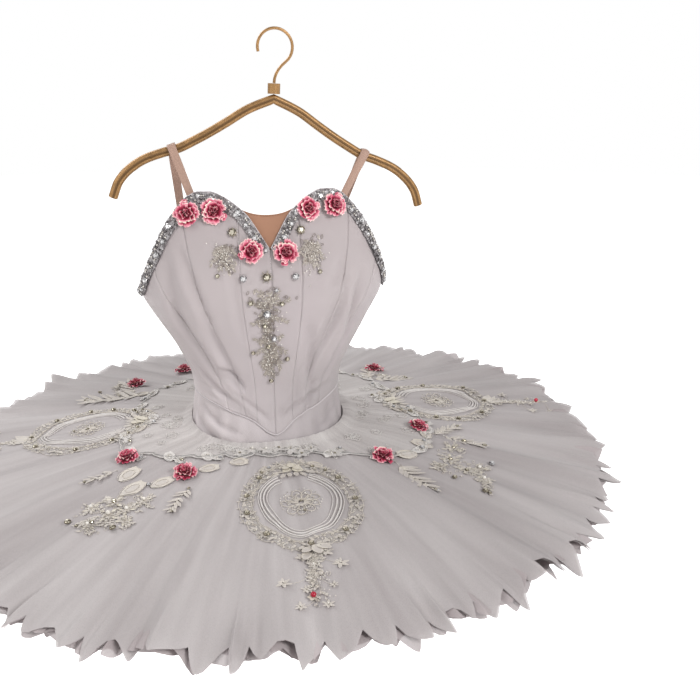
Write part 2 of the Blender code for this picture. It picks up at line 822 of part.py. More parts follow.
# ---------------------------------------------------------------- lace on the bodice
class Motif(NamedTuple):
    """A lace motif on the bodice: its angles and heights at both ends and its half width."""
    name: str
    low_degrees: float
    high_degrees: float
    low: float
    high: float
    half_width: float
    lobes: int
    steps: int


MOTIFS = (
    Motif("bodice_motif_centre", -1.5, -1.5, 0.120, 0.246, 0.022, 4, 20),
    Motif("bodice_motif_left", 17, 13.5, 0.262, 0.312, 0.013, 2, 8),
    Motif("bodice_motif_right", -17, -13.5, 0.262, 0.312, 0.013, 2, 8),
)


def add_motif(motif: Motif, garment) -> None:
    """Add one lace motif that lies on the bodice's front."""
    def place(share: float, aside: float, lift: float) -> Vector:
        height = motif.low + (motif.high - motif.low) * share
        angle = math.radians(motif.low_degrees + (motif.high_degrees - motif.low_degrees) * share)
        around, _ = body_tangents(angle, height)
        return on_body(angle - aside / around.length, height, ON_GAP + lift)

    add_strip(motif.name, place, lobed_width(motif.half_width, motif.lobes), motif.steps, CREAM_LACE,
              garment)


class RoseRow(NamedTuple):
    """A rose: its angle, and its height on the bodice or its radius on the skirt."""
    degrees: float
    at: float


BODICE_ROSES = (RoseRow(-32.4, 0.335), RoseRow(-20, 0.3375), RoseRow(-6.4, 0.2925),
                RoseRow(4.8, 0.2895), RoseRow(14.8, 0.3375), RoseRow(27.2, 0.340))
SKIRT_ROSES = (RoseRow(-38.2, 0.193), RoseRow(-63.4, 0.211), RoseRow(38.1, 0.198), RoseRow(68.8, 0.205),
               RoseRow(-154, 0.262), RoseRow(-134, 0.261), RoseRow(154, 0.262), RoseRow(132.5, 0.2545))


def add_roses(garment) -> None:
    """Add the cloth roses on the bodice's edge and on the skirt."""
    size = (ROSE_RADIUS, ROSE_HEIGHT)
    over_trim = ON_GAP + TRIM_THICK + STONE_RISE + ON_GAP
    for number, rose in enumerate(BODICE_ROSES, 1):
        angle = math.radians(rose.degrees)
        around, upward = body_tangents(angle, rose.at)
        point = on_body(angle, rose.at, over_trim)
        place = facing_matrix(point, around.cross(upward).normalized())
        add_flower(f"rose_bodice_{number}", ROSE_RINGS, ROSE_PETALS, size, place, ROSE_PINK, garment)
    for number, rose in enumerate(SKIRT_ROSES, 1):
        place = skirt_matrix(rose.at, math.radians(rose.degrees))
        add_flower(f"rose_skirt_{number}", ROSE_RINGS, ROSE_PETALS, size, place, ROSE_PINK, garment)


# ---------------------------------------------------------------- straps
def arm_point(out: float) -> Vector:
    """Return the middle of the hanger's arm in the hanger's own frame."""
    return Vector((out, 0.0, -read_table(ARM, abs(out))))


def hanger_to_garment() -> Matrix:
    """Return the transform from the hanger's frame to the garment's."""
    garment = Matrix.Translation((GARMENT_ASIDE, GARMENT_BACK, -HOOK_TO_RIM))
    return garment.inverted() @ Matrix.Rotation(HANGER_ROLL, 4, "Y")


def strap_stations(side: int) -> list:
    """Return the strap's middle points and width directions, from the cup over the arm to the back."""
    lift = -(WALL + ON_GAP + STRAP_THICK)
    to_garment = hanger_to_garment()
    out = side * STRAP_ON_ARM
    seat = to_garment @ arm_point(out)
    across = (to_garment @ arm_point(out + 0.006) - to_garment @ arm_point(out - 0.006)).normalized()
    up = across.cross(Vector((0, 1, 0))).normalized()
    reach = ARM_RADIUS + STRAP_CLEAR + STRAP_THICK / 2
    stations = []

    def tuck(angle: float, drops: tuple) -> list:
        around, _ = body_tangents(angle, top_height(angle))
        width = around.normalized() if math.cos(angle) > 0 else -around.normalized()
        return [(on_body(angle, top_height(angle) - drop, lift), width) for drop in drops]

    stations += tuck(side * STRAP_FRONT_ANGLE, (STRAP_TUCK, 0.0))
    for step in range(STRAP_TURN_STEPS + 1):
        turn = STRAP_LEAVES_FRONT + (STRAP_LEAVES_BACK - STRAP_LEAVES_FRONT) * step / STRAP_TURN_STEPS
        point = seat + (Vector((0, -math.cos(turn), 0)) + up * math.sin(turn)) * reach
        stations.append((point, across))
    stations += tuck(side * STRAP_BACK_ANGLE, (0.0, STRAP_TUCK))
    return stations


def add_strap(side: int, garment) -> None:
    """Add a ribbon strap that runs from inside the cup, over the hanger's arm, to the back."""
    stations = strap_stations(side)
    grids = ([], [])
    for index, (point, across) in enumerate(stations):
        before = stations[max(index - 1, 0)][0]
        after = stations[min(index + 1, len(stations) - 1)][0]
        along = (after - before).normalized()
        outward = across.cross(along).normalized()
        for grid, depth in zip(grids, (0.5, -0.5)):
            middle = point + outward * STRAP_THICK * depth
            grid.append([middle - across * STRAP_WIDTH / 2, middle + across * STRAP_WIDTH / 2])
    add_wall(f"strap_{side_name(side)}", *grids, PINK_RIBBON, garment)


# ---------------------------------------------------------------- hanger
def add_tube(name: str, path: list, radius: float, scales: list, recipe: tuple, parent) -> None:
    """Add a round bar along a path, with filled ends."""
    curve = bpy.data.curves.new(name, "CURVE")
    curve.dimensions = "3D"
    curve.bevel_depth = radius
    curve.bevel_resolution = 2
    curve.use_fill_caps = True
    spline = curve.splines.new("POLY")
    spline.points.add(len(path) - 1)
    for point, place, scale in zip(spline.points, path, scales):
        point.co = (*place, 1.0)
        point.radius = scale
    add_object(name, curve, recipe, parent)


def add_hanger(hanger) -> None:
    """Add the hanger's arms, the neck on top of them and the hook."""
    reach = ARM[-1].out
    outs = [reach * math.sin(math.pi / 2 * step / ARM_STEPS) for step in range(-ARM_STEPS, ARM_STEPS + 1)]
    scales = [ARM_TIP_SCALE if abs(step) == ARM_STEPS else 1.0 for step in range(-ARM_STEPS, ARM_STEPS + 1)]
    add_tube("hanger_arms", [arm_point(out) for out in outs], ARM_RADIUS, scales, GOLD_METAL, hanger)

    neck_bottom = -ARM[0].drop + ARM_RADIUS + SEAM_GAP
    bpy.ops.mesh.primitive_cylinder_add(vertices=16, radius=NECK_RADIUS, depth=NECK_HEIGHT)
    neck = bpy.context.object
    neck.name = neck.data.name = "hanger_neck"
    neck.data.materials.append(finish(GOLD_METAL))
    for collection in list(neck.users_collection):
        collection.objects.unlink(neck)
    bpy.data.collections["ballet_tutu"].objects.link(neck)
    neck.parent = hanger
    neck.location = (0, 0, neck_bottom + NECK_HEIGHT / 2)

    reach = HOOK_INNER + HOOK_WIRE
    middle = -HOOK_INNER
    stem = Vector((0, 0, neck_bottom + NECK_HEIGHT + SEAM_GAP))
    start = Vector((reach * math.cos(HOOK_FROM), 0, middle + reach * math.sin(HOOK_FROM)))
    bend = Vector((0, 0, start.z - start.x * math.cos(HOOK_FROM) / -math.sin(HOOK_FROM)))
    path = [curve_point(stem, bend, start, step / 5) for step in range(5)]
    for step in range(HOOK_STEPS + 1):
        turn = HOOK_FROM + (HOOK_TO - HOOK_FROM) * step / HOOK_STEPS
        path.append(Vector((reach * math.cos(turn), 0, middle + reach * math.sin(turn))))
    add_tube("hanger_hook", path, HOOK_WIRE, [1.0] * len(path), GOLD_METAL, hanger)


# ---------------------------------------------------------------- assembly
def add_empty(name: str, location: tuple, roll: float) -> bpy.types.Object:
    """Add an empty that carries one half of the part."""
    empty = bpy.data.objects.new(name, None)
    empty.location = location
    empty.rotation_euler = (0.0, roll, 0.0)
    bpy.data.collections["ballet_tutu"].objects.link(empty)
    return empty


def main() -> None:
    """Clear the scene and build the part."""
    for thing in list(bpy.data.objects):
        bpy.data.objects.remove(thing, do_unlink=True)
    collection = bpy.data.collections.new("ballet_tutu")
    bpy.context.scene.collection.children.link(collection)
    hanger = add_empty("hanger_frame", (0, 0, 0), HANGER_ROLL)
    garment = add_empty("garment_frame", (GARMENT_ASIDE, GARMENT_BACK, -HOOK_TO_RIM), 0.0)
    add_hanger(hanger)
    for side in (1, -1):
        for panel in PANELS:
            add_bodice_panel(panel, side, garment)
        add_trim(side, garment)
        add_strap(side, garment)
    add_insert(garment)
    add_basque(garment)
    for front in (True, False):
        add_knickers(front, garment)
    for layer in NET_LAYERS:
        add_net(layer, garment)
    add_overlay(garment)
    for spot in MEDALLIONS:
        add_medallion(spot, garment)
    for spray in SPRAYS:
        add_spray(spray, garment)
    for motif in MOTIFS:
        add_motif(motif, garment)
    add_roses(garment)


main()
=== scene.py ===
"""Ballet tutu on its hanger, dressed in cloth, net, lace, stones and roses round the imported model.

Lengths are in metres. The garment is worked out about the middle of its skirt, with heights
counted from the skirt's edge, +X to the wearer's left and -Y to the front. Angles go round the
body from the centre front, positive towards the wearer's left, in radians unless a name says
degrees. A lace piece's own place is x aside and y along on the bed that it lies on.
"""
import logging
import math
from dataclasses import dataclass, field
from enum import Enum
from functools import cached_property
from typing import Callable, Iterable, Optional, Sequence

import bpy
import numpy as np
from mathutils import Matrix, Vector


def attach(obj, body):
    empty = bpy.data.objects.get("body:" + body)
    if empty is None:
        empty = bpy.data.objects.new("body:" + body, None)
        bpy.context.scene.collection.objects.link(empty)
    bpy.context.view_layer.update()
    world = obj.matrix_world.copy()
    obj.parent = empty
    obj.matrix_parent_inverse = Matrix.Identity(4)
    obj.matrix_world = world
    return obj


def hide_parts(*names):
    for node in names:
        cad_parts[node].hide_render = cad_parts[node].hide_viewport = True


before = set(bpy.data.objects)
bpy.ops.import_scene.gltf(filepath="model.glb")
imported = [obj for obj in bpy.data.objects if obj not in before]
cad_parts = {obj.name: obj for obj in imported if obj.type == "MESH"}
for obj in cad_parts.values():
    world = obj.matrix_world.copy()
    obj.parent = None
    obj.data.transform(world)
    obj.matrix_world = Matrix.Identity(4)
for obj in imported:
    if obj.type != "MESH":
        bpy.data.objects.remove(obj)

Array = np.ndarray
Piece = bpy.types.Object
Node = bpy.types.Node
Socket = bpy.types.NodeSocket
Tree = bpy.types.NodeTree

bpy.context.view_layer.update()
BODY = "root"
GARMENT_AT = np.array([-0.017, 0.030, -0.540])   # the skirt's middle in the row frame
HANGER_ROLL = math.radians(3.1)
WALL = 0.0015    # a bodice panel's thickness
ON_GAP = 0.0007  # between two pieces that lie on each other
log = logging.getLogger("tutu")


# ---------------------------------------------------------------- curves and tables
class SmoothColumn:
    """A curve through rows of (key, value) that never overshoots them."""

    def __init__(self, rows: Sequence[Sequence[float]], column: int = 1) -> None:
        """Set up the curve.

        Args:
            rows: rows whose first number is the key, in rising order.
            column: which number of a row is the value.
        """
        self.keys = np.array([row[0] for row in rows], float)
        self.values = np.array([row[column] for row in rows], float)
        slopes = np.diff(self.values) / np.diff(self.keys)
        before, after = slopes[:-1], slopes[1:]
        total = np.where(before * after > 0, before + after, 1.0)
        inner = np.where(before * after > 0, 2 * before * after / total, 0.0)
        self.tangents = np.concatenate([slopes[:1], inner, slopes[-1:]])

    def __call__(self, key: Array) -> Array:
        """Read the curve.

        Args:
            key: where to read it; beyond the rows it stays level.

        Returns:
            The values there.
        """
        key = np.clip(np.asarray(key, float), self.keys[0], self.keys[-1])
        low = np.clip(np.searchsorted(self.keys, key, side="right") - 1, 0, len(self.keys) - 2)
        span = self.keys[low + 1] - self.keys[low]
        part = (key - self.keys[low]) / span
        bow = self.tangents[low] * (1 - part) - self.tangents[low + 1] * part
        start, end = self.values[low], self.values[low + 1]
        return start + (end - start) * part * part * (3 - 2 * part) + span * part * (1 - part) * bow


def smooth_step(value: Array, low: float, high: float) -> Array:
    """Return the share that eases from 0 where value is low to 1 where it is high."""
    share = np.clip((np.asarray(value, float) - low) / (high - low), 0.0, 1.0)
    return share * share * (3 - 2 * share)


def unit(vectors: Array) -> Array:
    """Return the vectors on the last axis scaled to length one."""
    return vectors / np.maximum(np.linalg.norm(vectors, axis=-1, keepdims=True), 1e-12)


def turns(count: int) -> Array:
    """Return angles spread evenly round a full turn."""
    return np.linspace(0, math.tau, count, endpoint=False)


def wrapped(angle: Array) -> Array:
    """Return angles brought between -pi and pi."""
    return np.arctan2(np.sin(angle), np.cos(angle))


def off_degrees(angle: Array, degrees: float) -> Array:
    """Return how many degrees angles are from a direction given in degrees."""
    return (np.degrees(angle) - degrees + 180) % 360 - 180


def running(steps: Array) -> Array:
    """Return how far along each point is, from the steps between them."""
    return np.concatenate([[0], np.cumsum(steps)])


def steps_of(points: Array, axis: int = 0) -> Array:
    """Return the lengths of the steps between points along an axis."""
    return np.linalg.norm(np.diff(points, axis=axis), axis=-1)


def polar(radius: Array, angle: Array, height: Array) -> Array:
    """Return points of the skirt from distances from its middle, angles and heights."""
    radius, angle, height = np.broadcast_arrays(radius, angle, height)
    return np.stack([radius * np.sin(angle), -radius * np.cos(angle), height], -1)


def turned(x: float, y: float, way: float, along: Array, aside: Array) -> tuple:
    """Return x and y of places along and aside of a way that starts at x and y."""
    c, s = math.cos(way), math.sin(way)
    return x + along * c - aside * s, y + along * s + aside * c


def folds_round(angle: Array, count: int, seed: int) -> Array:
    """Give uneven folds that close on themselves round the body.

    Args:
        angle: where to read them.
        count: how many ridges and troughs in all, an even number.
        seed: the number that sets their unevenness.

    Returns:
        Heights from -1 to 1.
    """
    chance = np.random.default_rng(seed)
    knots = chance.uniform(0.35, 1.0, count) * np.where(np.arange(count) % 2, 1.0, -1.0)
    places = (np.arange(count) + chance.uniform(-0.28, 0.28, count)) / count
    places = np.concatenate([places - 1, places, places + 1])
    knots = np.tile(knots, 3)
    turn = np.mod(np.asarray(angle, float) / math.tau, 1.0)
    low = np.clip(np.searchsorted(places, turn, side="right") - 1, 0, len(places) - 2)
    part = (turn - places[low]) / (places[low + 1] - places[low])
    part = part * part * (3 - 2 * part)
    return knots[low] * (1 - part) + knots[low + 1] * part


def bezier(start: Array, pull: Array, end: Array, share: Array) -> Array:
    """Return points of the curve that leaves start towards pull and reaches end from it.

    Args:
        start: the first point.
        pull: the point that both ends head for.
        end: the last point.
        share: shares of the way, any shape.

    Returns:
        The points, with their coordinates on the last axis.
    """
    share = np.asarray(share, float)[..., None]
    start, pull, end = (np.asarray(point, float) for point in (start, pull, end))
    return start * (1 - share) ** 2 + pull * 2 * share * (1 - share) + end * share ** 2


# ---------------------------------------------------------------- the forms under the cloth
@dataclass(frozen=True)
class Crease:
    """A soft fold pressed into the bodice: where it runs, in degrees and heights, how wide
    it is, how far it rises and how much of a lip it has."""
    start: tuple
    middle: tuple
    end: tuple
    width: float
    rise: float
    lip: float = 0.0


@dataclass(frozen=True)
class BodyForm:
    """The body that the bodice, basque and knickers are cut to."""
    sections: tuple = (  # height, half width, front and back
        (-0.200, 0.105, 0.095, 0.100), (-0.050, 0.115, 0.112, 0.112), (0.000, 0.111, 0.112, 0.108),
        (0.045, 0.102, 0.109, 0.102), (0.080, 0.096, 0.100, 0.090), (0.110, 0.0985, 0.099, 0.088),
        (0.150, 0.114, 0.104, 0.091), (0.205, 0.145, 0.111, 0.098), (0.225, 0.155, 0.112, 0.100),
        (0.260, 0.163, 0.110, 0.100), (0.300, 0.164, 0.100, 0.098), (0.360, 0.159, 0.079, 0.096),
        (0.420, 0.152, 0.060, 0.090))
    aside: float = -0.0045
    power: float = 2.25
    cup_angle: float = math.radians(31)
    cup_spread: float = math.radians(17)
    cup_height: float = 0.270
    cup_reach: float = 0.045
    cup_rise: float = 0.006
    top_edge: tuple = (
        (0, 0.293), (3, 0.312), (7, 0.332), (10.5, 0.342), (16, 0.353), (22, 0.359), (27, 0.359),
        (32, 0.3545), (36, 0.3465), (41, 0.333), (47, 0.314), (56, 0.284), (66, 0.257), (77, 0.240),
        (92, 0.233), (130, 0.229), (180, 0.216))
    bottom_edge: tuple = (
        (0, 0.0575), (4, 0.0615), (9, 0.0690), (14, 0.0755), (20, 0.0800), (32, 0.0860),
        (48, 0.0930), (66, 0.0955), (90, 0.0955), (180, 0.0950))

    @cached_property
    def curves(self) -> tuple:
        """The half width, front and back by height, then the two edges by degrees."""
        return (*(SmoothColumn(self.sections, column) for column in (1, 2, 3)),
                SmoothColumn(self.top_edge), SmoothColumn(self.bottom_edge))

    def top(self, angle: Array) -> Array:
        """Return the height of the bodice's top edge."""
        return self.curves[3](np.abs(np.degrees(angle)))

    def bottom(self, angle: Array) -> Array:
        """Return the height of the bodice's pointed hem."""
        return self.curves[4](np.abs(np.degrees(angle)))

    def surface(self, angle: Array, height: Array) -> Array:
        """Return points of the bodice's outside.

        Args:
            angle: angles from -pi to pi.
            height: heights.

        Returns:
            The points.
        """
        angle, height = np.broadcast_arrays(np.asarray(angle, float), np.asarray(height, float))
        half_width, front, back = (curve(height) for curve in self.curves[:3])
        sine, cosine = np.sin(angle), np.cos(angle)
        depth = np.where(cosine > 0, front, back)
        power = 2 / self.power
        across = np.sign(sine) * np.abs(sine) ** power
        forward = np.sign(cosine) * np.abs(cosine) ** power
        cup = np.exp(-((np.abs(angle) - self.cup_angle) / self.cup_spread) ** 2
                     - ((height - self.cup_height) / self.cup_reach) ** 2)
        return np.stack([half_width * across + self.aside, -depth * forward - self.cup_rise * cup, height], -1)

    def tangents(self, angle: Array, height: Array, step: float = 1e-4) -> tuple:
        """Return the surface's rates of change along the angle and along the height."""
        return tuple((self.surface(angle + a, height + h) - self.surface(angle - a, height - h)) / (2 * step)
                     for a, h in ((step, 0.0), (0.0, step)))

    def normal(self, angle: Array, height: Array) -> Array:
        """Return the unit vectors straight out of the body."""
        return unit(np.cross(*self.tangents(angle, height)))

    def lifted(self, angle: Array, height: Array, lift: Array) -> Array:
        """Return points moved straight out of the body, or into it where lift is negative."""
        return self.surface(angle, height) + self.normal(angle, height) * np.asarray(lift)[..., None]


@dataclass(frozen=True)
class NetSheet:
    """One sheet of net: where it is sewn, where its edge hangs and how it is cut into points."""
    name: str
    seam_height: float
    rim_height: float
    notch_radius: float
    tip_reach: float
    points: int
    bend: float
    seed: int
    drift: float
    inner_radius: float = 0.108
    rim_radius: float = 0.449
    swells: tuple = ((115, 26, 0.015), (-152, 22, -0.002), (72, 12, -0.003), (0, 75, -0.0065),
                     (-36, 20, -0.010))  # degrees, spread and rise
    wide_side: tuple = (92, 40, 0.026)   # degrees, spread and share
    fold: float = 0.0090
    pleat: float = 0.0026
    gather: float = 0.0003
    flute: float = 0.0050
    curl: float = 0.0030
    crest: float = 0.0040
    droop_radius: float = 0.432

    @cached_property
    def teeth(self) -> dict:
        """The points of the edge: where each starts, and its lean, reach, roundness and folds."""
        chance = np.random.default_rng(self.seed)
        widths = chance.uniform(0.62, 1.45, self.points)
        starts = running(widths) / widths.sum()
        middle = (starts[:-1] + starts[1:]) / 2

        def draw(low: float, high: float) -> Array:
            """Draw a number for each point."""
            return chance.uniform(low, high, self.points)

        def share(odds: float) -> Array:
            """Draw whether each point is one of a share."""
            return chance.random(self.points) < odds

        return {
            "starts": starts,
            "lean": np.where(share(0.5), draw(0.16, 0.36), draw(0.62, 0.86)),
            "reach": draw(0.5, 1.0) * (0.5 + 0.5 * calm_side(middle * math.tau)),
            "round": draw(0.8, 1.5),
            "curl": draw(-1.0, 0.8),
            "flute": draw(0.3, 1.0) * np.where(share(0.5), 1, -1),
            "crest": draw(0.5, 1.0) * share(0.55)}

    def tooth_at(self, angle: Array) -> tuple:
        """Find the point of the edge at angles.

        Args:
            angle: angles.

        Returns:
            The points' numbers and the shares of their widths.
        """
        turn, starts = np.mod(np.asarray(angle, float) / math.tau, 1.0), self.teeth["starts"]
        number = np.clip(np.searchsorted(starts, turn, side="right") - 1, 0, self.points - 1)
        return number, (turn - starts[number]) / (starts[number + 1] - starts[number])

    def edge_radius(self, number: Array, share: Array) -> Array:
        """Return how far out the cut edge is.

        Args:
            number: the numbers of the edge's points.
            share: the shares of their widths.

        Returns:
            The radii.
        """
        lean, rounding = self.teeth["lean"][number], self.teeth["round"][number]
        rise = np.where(share < lean, share / lean, (1 - share) / (1 - lean))
        steep = np.minimum(lean, 1 - lean) == np.where(share < lean, lean, 1 - lean)
        tooth = 1.10 - np.hypot(1 - np.where(steep, rise ** 0.8, rise ** rounding), 0.10)
        turn = self.teeth["starts"][number] * math.tau + share * math.tau / self.points
        degrees, spread, more = self.wide_side
        wider = 1 + more * np.exp(-(off_degrees(turn, degrees) / spread) ** 2)
        return (self.notch_radius + self.tip_reach * self.teeth["reach"][number] * tooth) * wider

    def height(self, radius: Array, angle: Array) -> Array:
        """Return the sheet's height with its folds.

        Args:
            radius: distances from the skirt's middle.
            angle: angles.

        Returns:
            The heights.
        """
        share = np.maximum((radius - self.inner_radius) / (self.rim_radius - self.inner_radius), 0.0)
        height = self.seam_height + (self.rim_height - self.seam_height) * share ** self.bend
        for degrees, spread, lift in self.swells:
            height = height + lift * np.exp(-(off_degrees(angle, degrees) / spread) ** 2) * share ** 2
        bent = angle + 0.10 * (radius - 0.2) * np.sin(3 * angle + 1.0) + self.drift
        ridges, small = folds_round(bent, 52, 11), folds_round(bent, 96, 5)
        broad = np.where(ridges > 0, 1.15 * np.abs(ridges) ** 1.9, 0.55 * ridges)
        broad = broad * self.fold * np.clip((radius - 0.155) / 0.285, 0, 1.1)
        pleats = small * self.pleat * np.clip((radius - 0.16) / 0.24, 0, 1.1) ** 1.2
        gathers = folds_round(bent, 260, 8) * self.gather * (1 - smooth_step(radius, 0.17, 0.26))
        number, part = self.tooth_at(angle)
        tooth = {key: values[number] for key, values in self.teeth.items()}
        near_rim = smooth_step(radius, 0.360, 0.458)
        flute = tooth["flute"] * np.sin(math.tau * part) * self.flute * near_rim
        curl = tooth["curl"] * np.sin(math.pi * part) ** 2 * self.curl * near_rim ** 2
        crest = np.exp(-((part - tooth["lean"]) / 0.11) ** 2) * smooth_step(radius, 0.375, 0.440)
        flute = flute + tooth["crest"] * crest * self.crest
        droop = np.maximum(radius - self.droop_radius, 0.0) ** 2 / 0.11
        droop = droop * (0.65 + 0.5 * folds_round(angle, 46, 17)) * (0.35 + 0.65 * calm_side(angle))
        return height + broad + pleats + gathers + flute + curl - droop


def calm_side(angle: Array) -> Array:
    """Return how sharply the net is cut at angles: less towards the wearer's front right."""
    return smooth_step(np.cos(angle - math.radians(65)), -0.75, 0.25)


TORSO = BodyForm()
NET_SHEETS = (
    NetSheet("net_top_a", 0.0440, 0.0004, 0.432, 0.034, 92, 1.25, 21, 0.000),
    NetSheet("net_top_b", 0.0400, -0.0022, 0.430, 0.033, 92, 1.18, 21, 0.000),
    NetSheet("net_middle_a", 0.0310, -0.0048, 0.434, 0.022, 74, 1.05, 55, 0.012),
    NetSheet("net_middle_b", 0.0260, -0.0074, 0.430, 0.022, 66, 1.00, 89, 0.018),
    NetSheet("net_lower_a", 0.0160, -0.0100, 0.426, 0.021, 60, 1.00, 144, 0.030),
    NetSheet("net_lower_b", 0.0110, -0.0128, 0.420, 0.020, 56, 1.00, 233, 0.040))
TOP_SHEET = NET_SHEETS[0]
OVERLAY_SCALLOP = 0.006
OVERLAY_LOBES = 24


# ---------------------------------------------------------------- meshes
def grid_faces(rows: int, columns: int, wrap: bool = False) -> Array:
    """Return the four-sided faces of a grid whose rows go up and columns go anticlockwise from above.

    Args:
        rows: how many rows of points.
        columns: how many columns of points.
        wrap: whether the last column joins the first.

    Returns:
        One row of four point numbers for each face.
    """
    across = np.arange(columns if wrap else columns - 1)
    low, after = np.arange(rows - 1)[:, None] * columns, (across + 1) % columns
    return np.stack([low + across, low + after, low + columns + after, low + columns + across], -1).reshape(-1, 4)


def set_value(thing: Piece, name: str, values: Array) -> None:
    """Store a number or a vector at each point of a piece, or at each face where there are as many.

    Args:
        thing: the piece.
        name: the attribute's name.
        values: one number or one row of three for each.
    """
    values = np.asarray(values, np.float32)
    kind, key = ("FLOAT_VECTOR", "vector") if values.ndim == 2 else ("FLOAT", "value")
    domain = "FACE" if len(values) == len(thing.data.polygons) else "POINT"
    thing.data.attributes.new(name, kind, domain).data.foreach_set(key, values.ravel())


def new_piece(name: str, points: Array, edges: Sequence, faces: Sequence, smooth: bool = True,
              **values: Array) -> Piece:
    """Make a piece at the origin, with its place in its mesh.

    Args:
        name: the piece's name.
        points: its points, in the row frame.
        edges: its loose edges as point numbers.
        faces: its faces as point numbers.
        smooth: whether its faces are shaded as one smooth surface.
        values: what is stored on it, by name.

    Returns:
        The piece.
    """
    mesh = bpy.data.meshes.new(name)
    mesh.from_pydata(np.asarray(points, float).reshape(-1, 3).tolist(), edges, faces)
    mesh.polygons.foreach_set("use_smooth", np.full(len(faces), smooth))
    thing = bpy.data.objects.new(name, mesh)
    bpy.context.scene.collection.objects.link(thing)
    for key, numbers in values.items():
        set_value(thing, key, numbers)
    return thing


def cloth_grid(name: str, grid: Array, finish: "Finish", wrap: bool = False, thickness: float = 0.0,
               **values: Array) -> Piece:
    """Make a piece of cloth from a grid, with a UV map in metres along the cloth.

    Args:
        name: the piece's name.
        grid: rows of the garment's points from low to high, columns anticlockwise seen from above.
        finish: what it is made of.
        wrap: whether the last column joins the first.
        thickness: the wall to add inwards, or none.
        values: what is stored at its points, by name.

    Returns:
        The piece.
    """
    rows, columns = grid.shape[:2]
    thing = new_piece(name, grid + GARMENT_AT, [], grid_faces(rows, columns, wrap).tolist(), **values)
    thing.data.materials.append(finish.material)
    ring = np.concatenate([grid, grid[:, :1]], 1) if wrap else grid
    u, v = running(steps_of(ring, 1).mean(0)), running(steps_of(grid).mean(1))
    column, row = np.meshgrid(np.arange(ring.shape[1] - 1), np.arange(rows - 1))
    corners = [np.stack([u[column + right], v[row + up]], -1) for right, up in ((0, 0), (1, 0), (1, 1), (0, 1))]
    thing.data.uv_layers.new(name="cloth").data.foreach_set("uv", np.stack(corners, 2).astype(np.float32).ravel())
    if thickness:
        wall = thing.modifiers.new("wall", "SOLIDIFY")
        wall.thickness, wall.offset, wall.use_even_offset = thickness, -1.0, False
    return thing


def dress(thing: Piece, replaces: Iterable[str] = ()) -> None:
    """Hang a finished piece on the body and say which solids it stands for.

    Args:
        thing: the piece.
        replaces: names of the solids.
    """
    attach(thing, BODY)
    if replaces:
        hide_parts(*replaces)
    log.info("%s: %d faces for %s", thing.name, len(thing.data.polygons), ", ".join(replaces) or "no solid")


# ---------------------------------------------------------------- node trees
class Bench:
    """Adds nodes to one node tree in few words."""

    def __init__(self, tree: Tree) -> None:
        """Keep the tree that the nodes go in."""
        self.tree = tree

    def link(self, start: Socket, end: Socket) -> None:
        """Join an output to an input."""
        self.tree.links.new(start, end)

    def add(self, kind: str, sockets: Optional[dict] = None, **settings: object) -> Node:
        """Add a node.

        Args:
            kind: the node's type name.
            sockets: values or links by socket name or number.
            settings: the node's own properties.

        Returns:
            The node.
        """
        node = self.tree.nodes.new(kind)
        for key, value in settings.items():
            setattr(node, key, value)
        for key, value in (sockets or {}).items():
            if isinstance(value, Socket):
                self.link(value, node.inputs[key])
            else:
                node.inputs[key].default_value = value
        return node

    def out(self, kind: str, sockets: dict, which: object = 0, **settings: object) -> Socket:
        """Add a node and return one of its outputs."""
        return self.add(kind, sockets, **settings).outputs[which]

    def place(self, which: str = "Object") -> Socket:
        """Add texture coordinates of a kind."""
        return self.out("ShaderNodeTexCoord", {}, which)

    def attribute(self, name: str) -> Socket:
        """Add a number that the piece stores by this name."""
        return self.out("ShaderNodeAttribute", {}, "Fac", attribute_name=name)

    def math(self, operation: str, first: object, second: object = 0.0, third: object = 0.0) -> Socket:
        """Add a Math node and return its result."""
        return self.out("ShaderNodeMath", {0: first, 1: second, 2: third}, operation=operation)

    def vector(self, operation: str, sockets: dict, which: int = 0) -> Socket:
        """Add a Vector Math node and return its result."""
        return self.out("ShaderNodeVectorMath", sockets, which, operation=operation)

    def mix(self, share: object, first: object, second: object) -> Socket:
        """Add a colour mix and return its result."""
        return self.out("ShaderNodeMix", {0: share, 6: first, 7: second}, 2, data_type="RGBA")

    def ease(self, value: Socket, low: float, high: float, first: float = 0.0, last: object = 1.0) -> Socket:
        """Add a Map Range node from low and high to first and last."""
        return self.out("ShaderNodeMapRange", {0: value, 1: low, 2: high, 3: first, 4: last})

    def noise(self, place: Socket, scale: object, detail: float = 2.0, roughness: float = 0.5) -> Socket:
        """Add soft noise and return its share."""
        return self.out("ShaderNodeTexNoise", {"Vector": place, "Scale": scale, "Detail": detail,
                                               "Roughness": roughness})

    def effect(self, name: str, **sockets: object) -> bpy.types.NodeOutputs:
        """Place a shared effect with its values and return its outputs."""
        return self.add("ShaderNodeGroup", sockets, node_tree=getattr(EFFECTS, name)).outputs


def new_tree(name: str, kind: str, inputs: Sequence[tuple], outputs: Sequence[tuple]) -> tuple:
    """Start a node tree with named inputs and outputs.

    Args:
        name: the tree's name.
        kind: Shader or Geometry.
        inputs: rows of (name, kind) or (name, kind, value).
        outputs: rows of (name, kind).

    Returns:
        A bench for the tree, what comes in and what goes out.
    """
    tree = bpy.data.node_groups.new(name, f"{kind}NodeTree")
    for way, rows in (("INPUT", inputs), ("OUTPUT", outputs)):
        for label, sort, *value in rows:
            socket = tree.interface.new_socket(name=label, in_out=way, socket_type=f"NodeSocket{sort}")
            if value:
                socket.default_value = value[0]
    bench = Bench(tree)
    return bench, bench.add("NodeGroupInput").outputs, bench.add("NodeGroupOutput").inputs


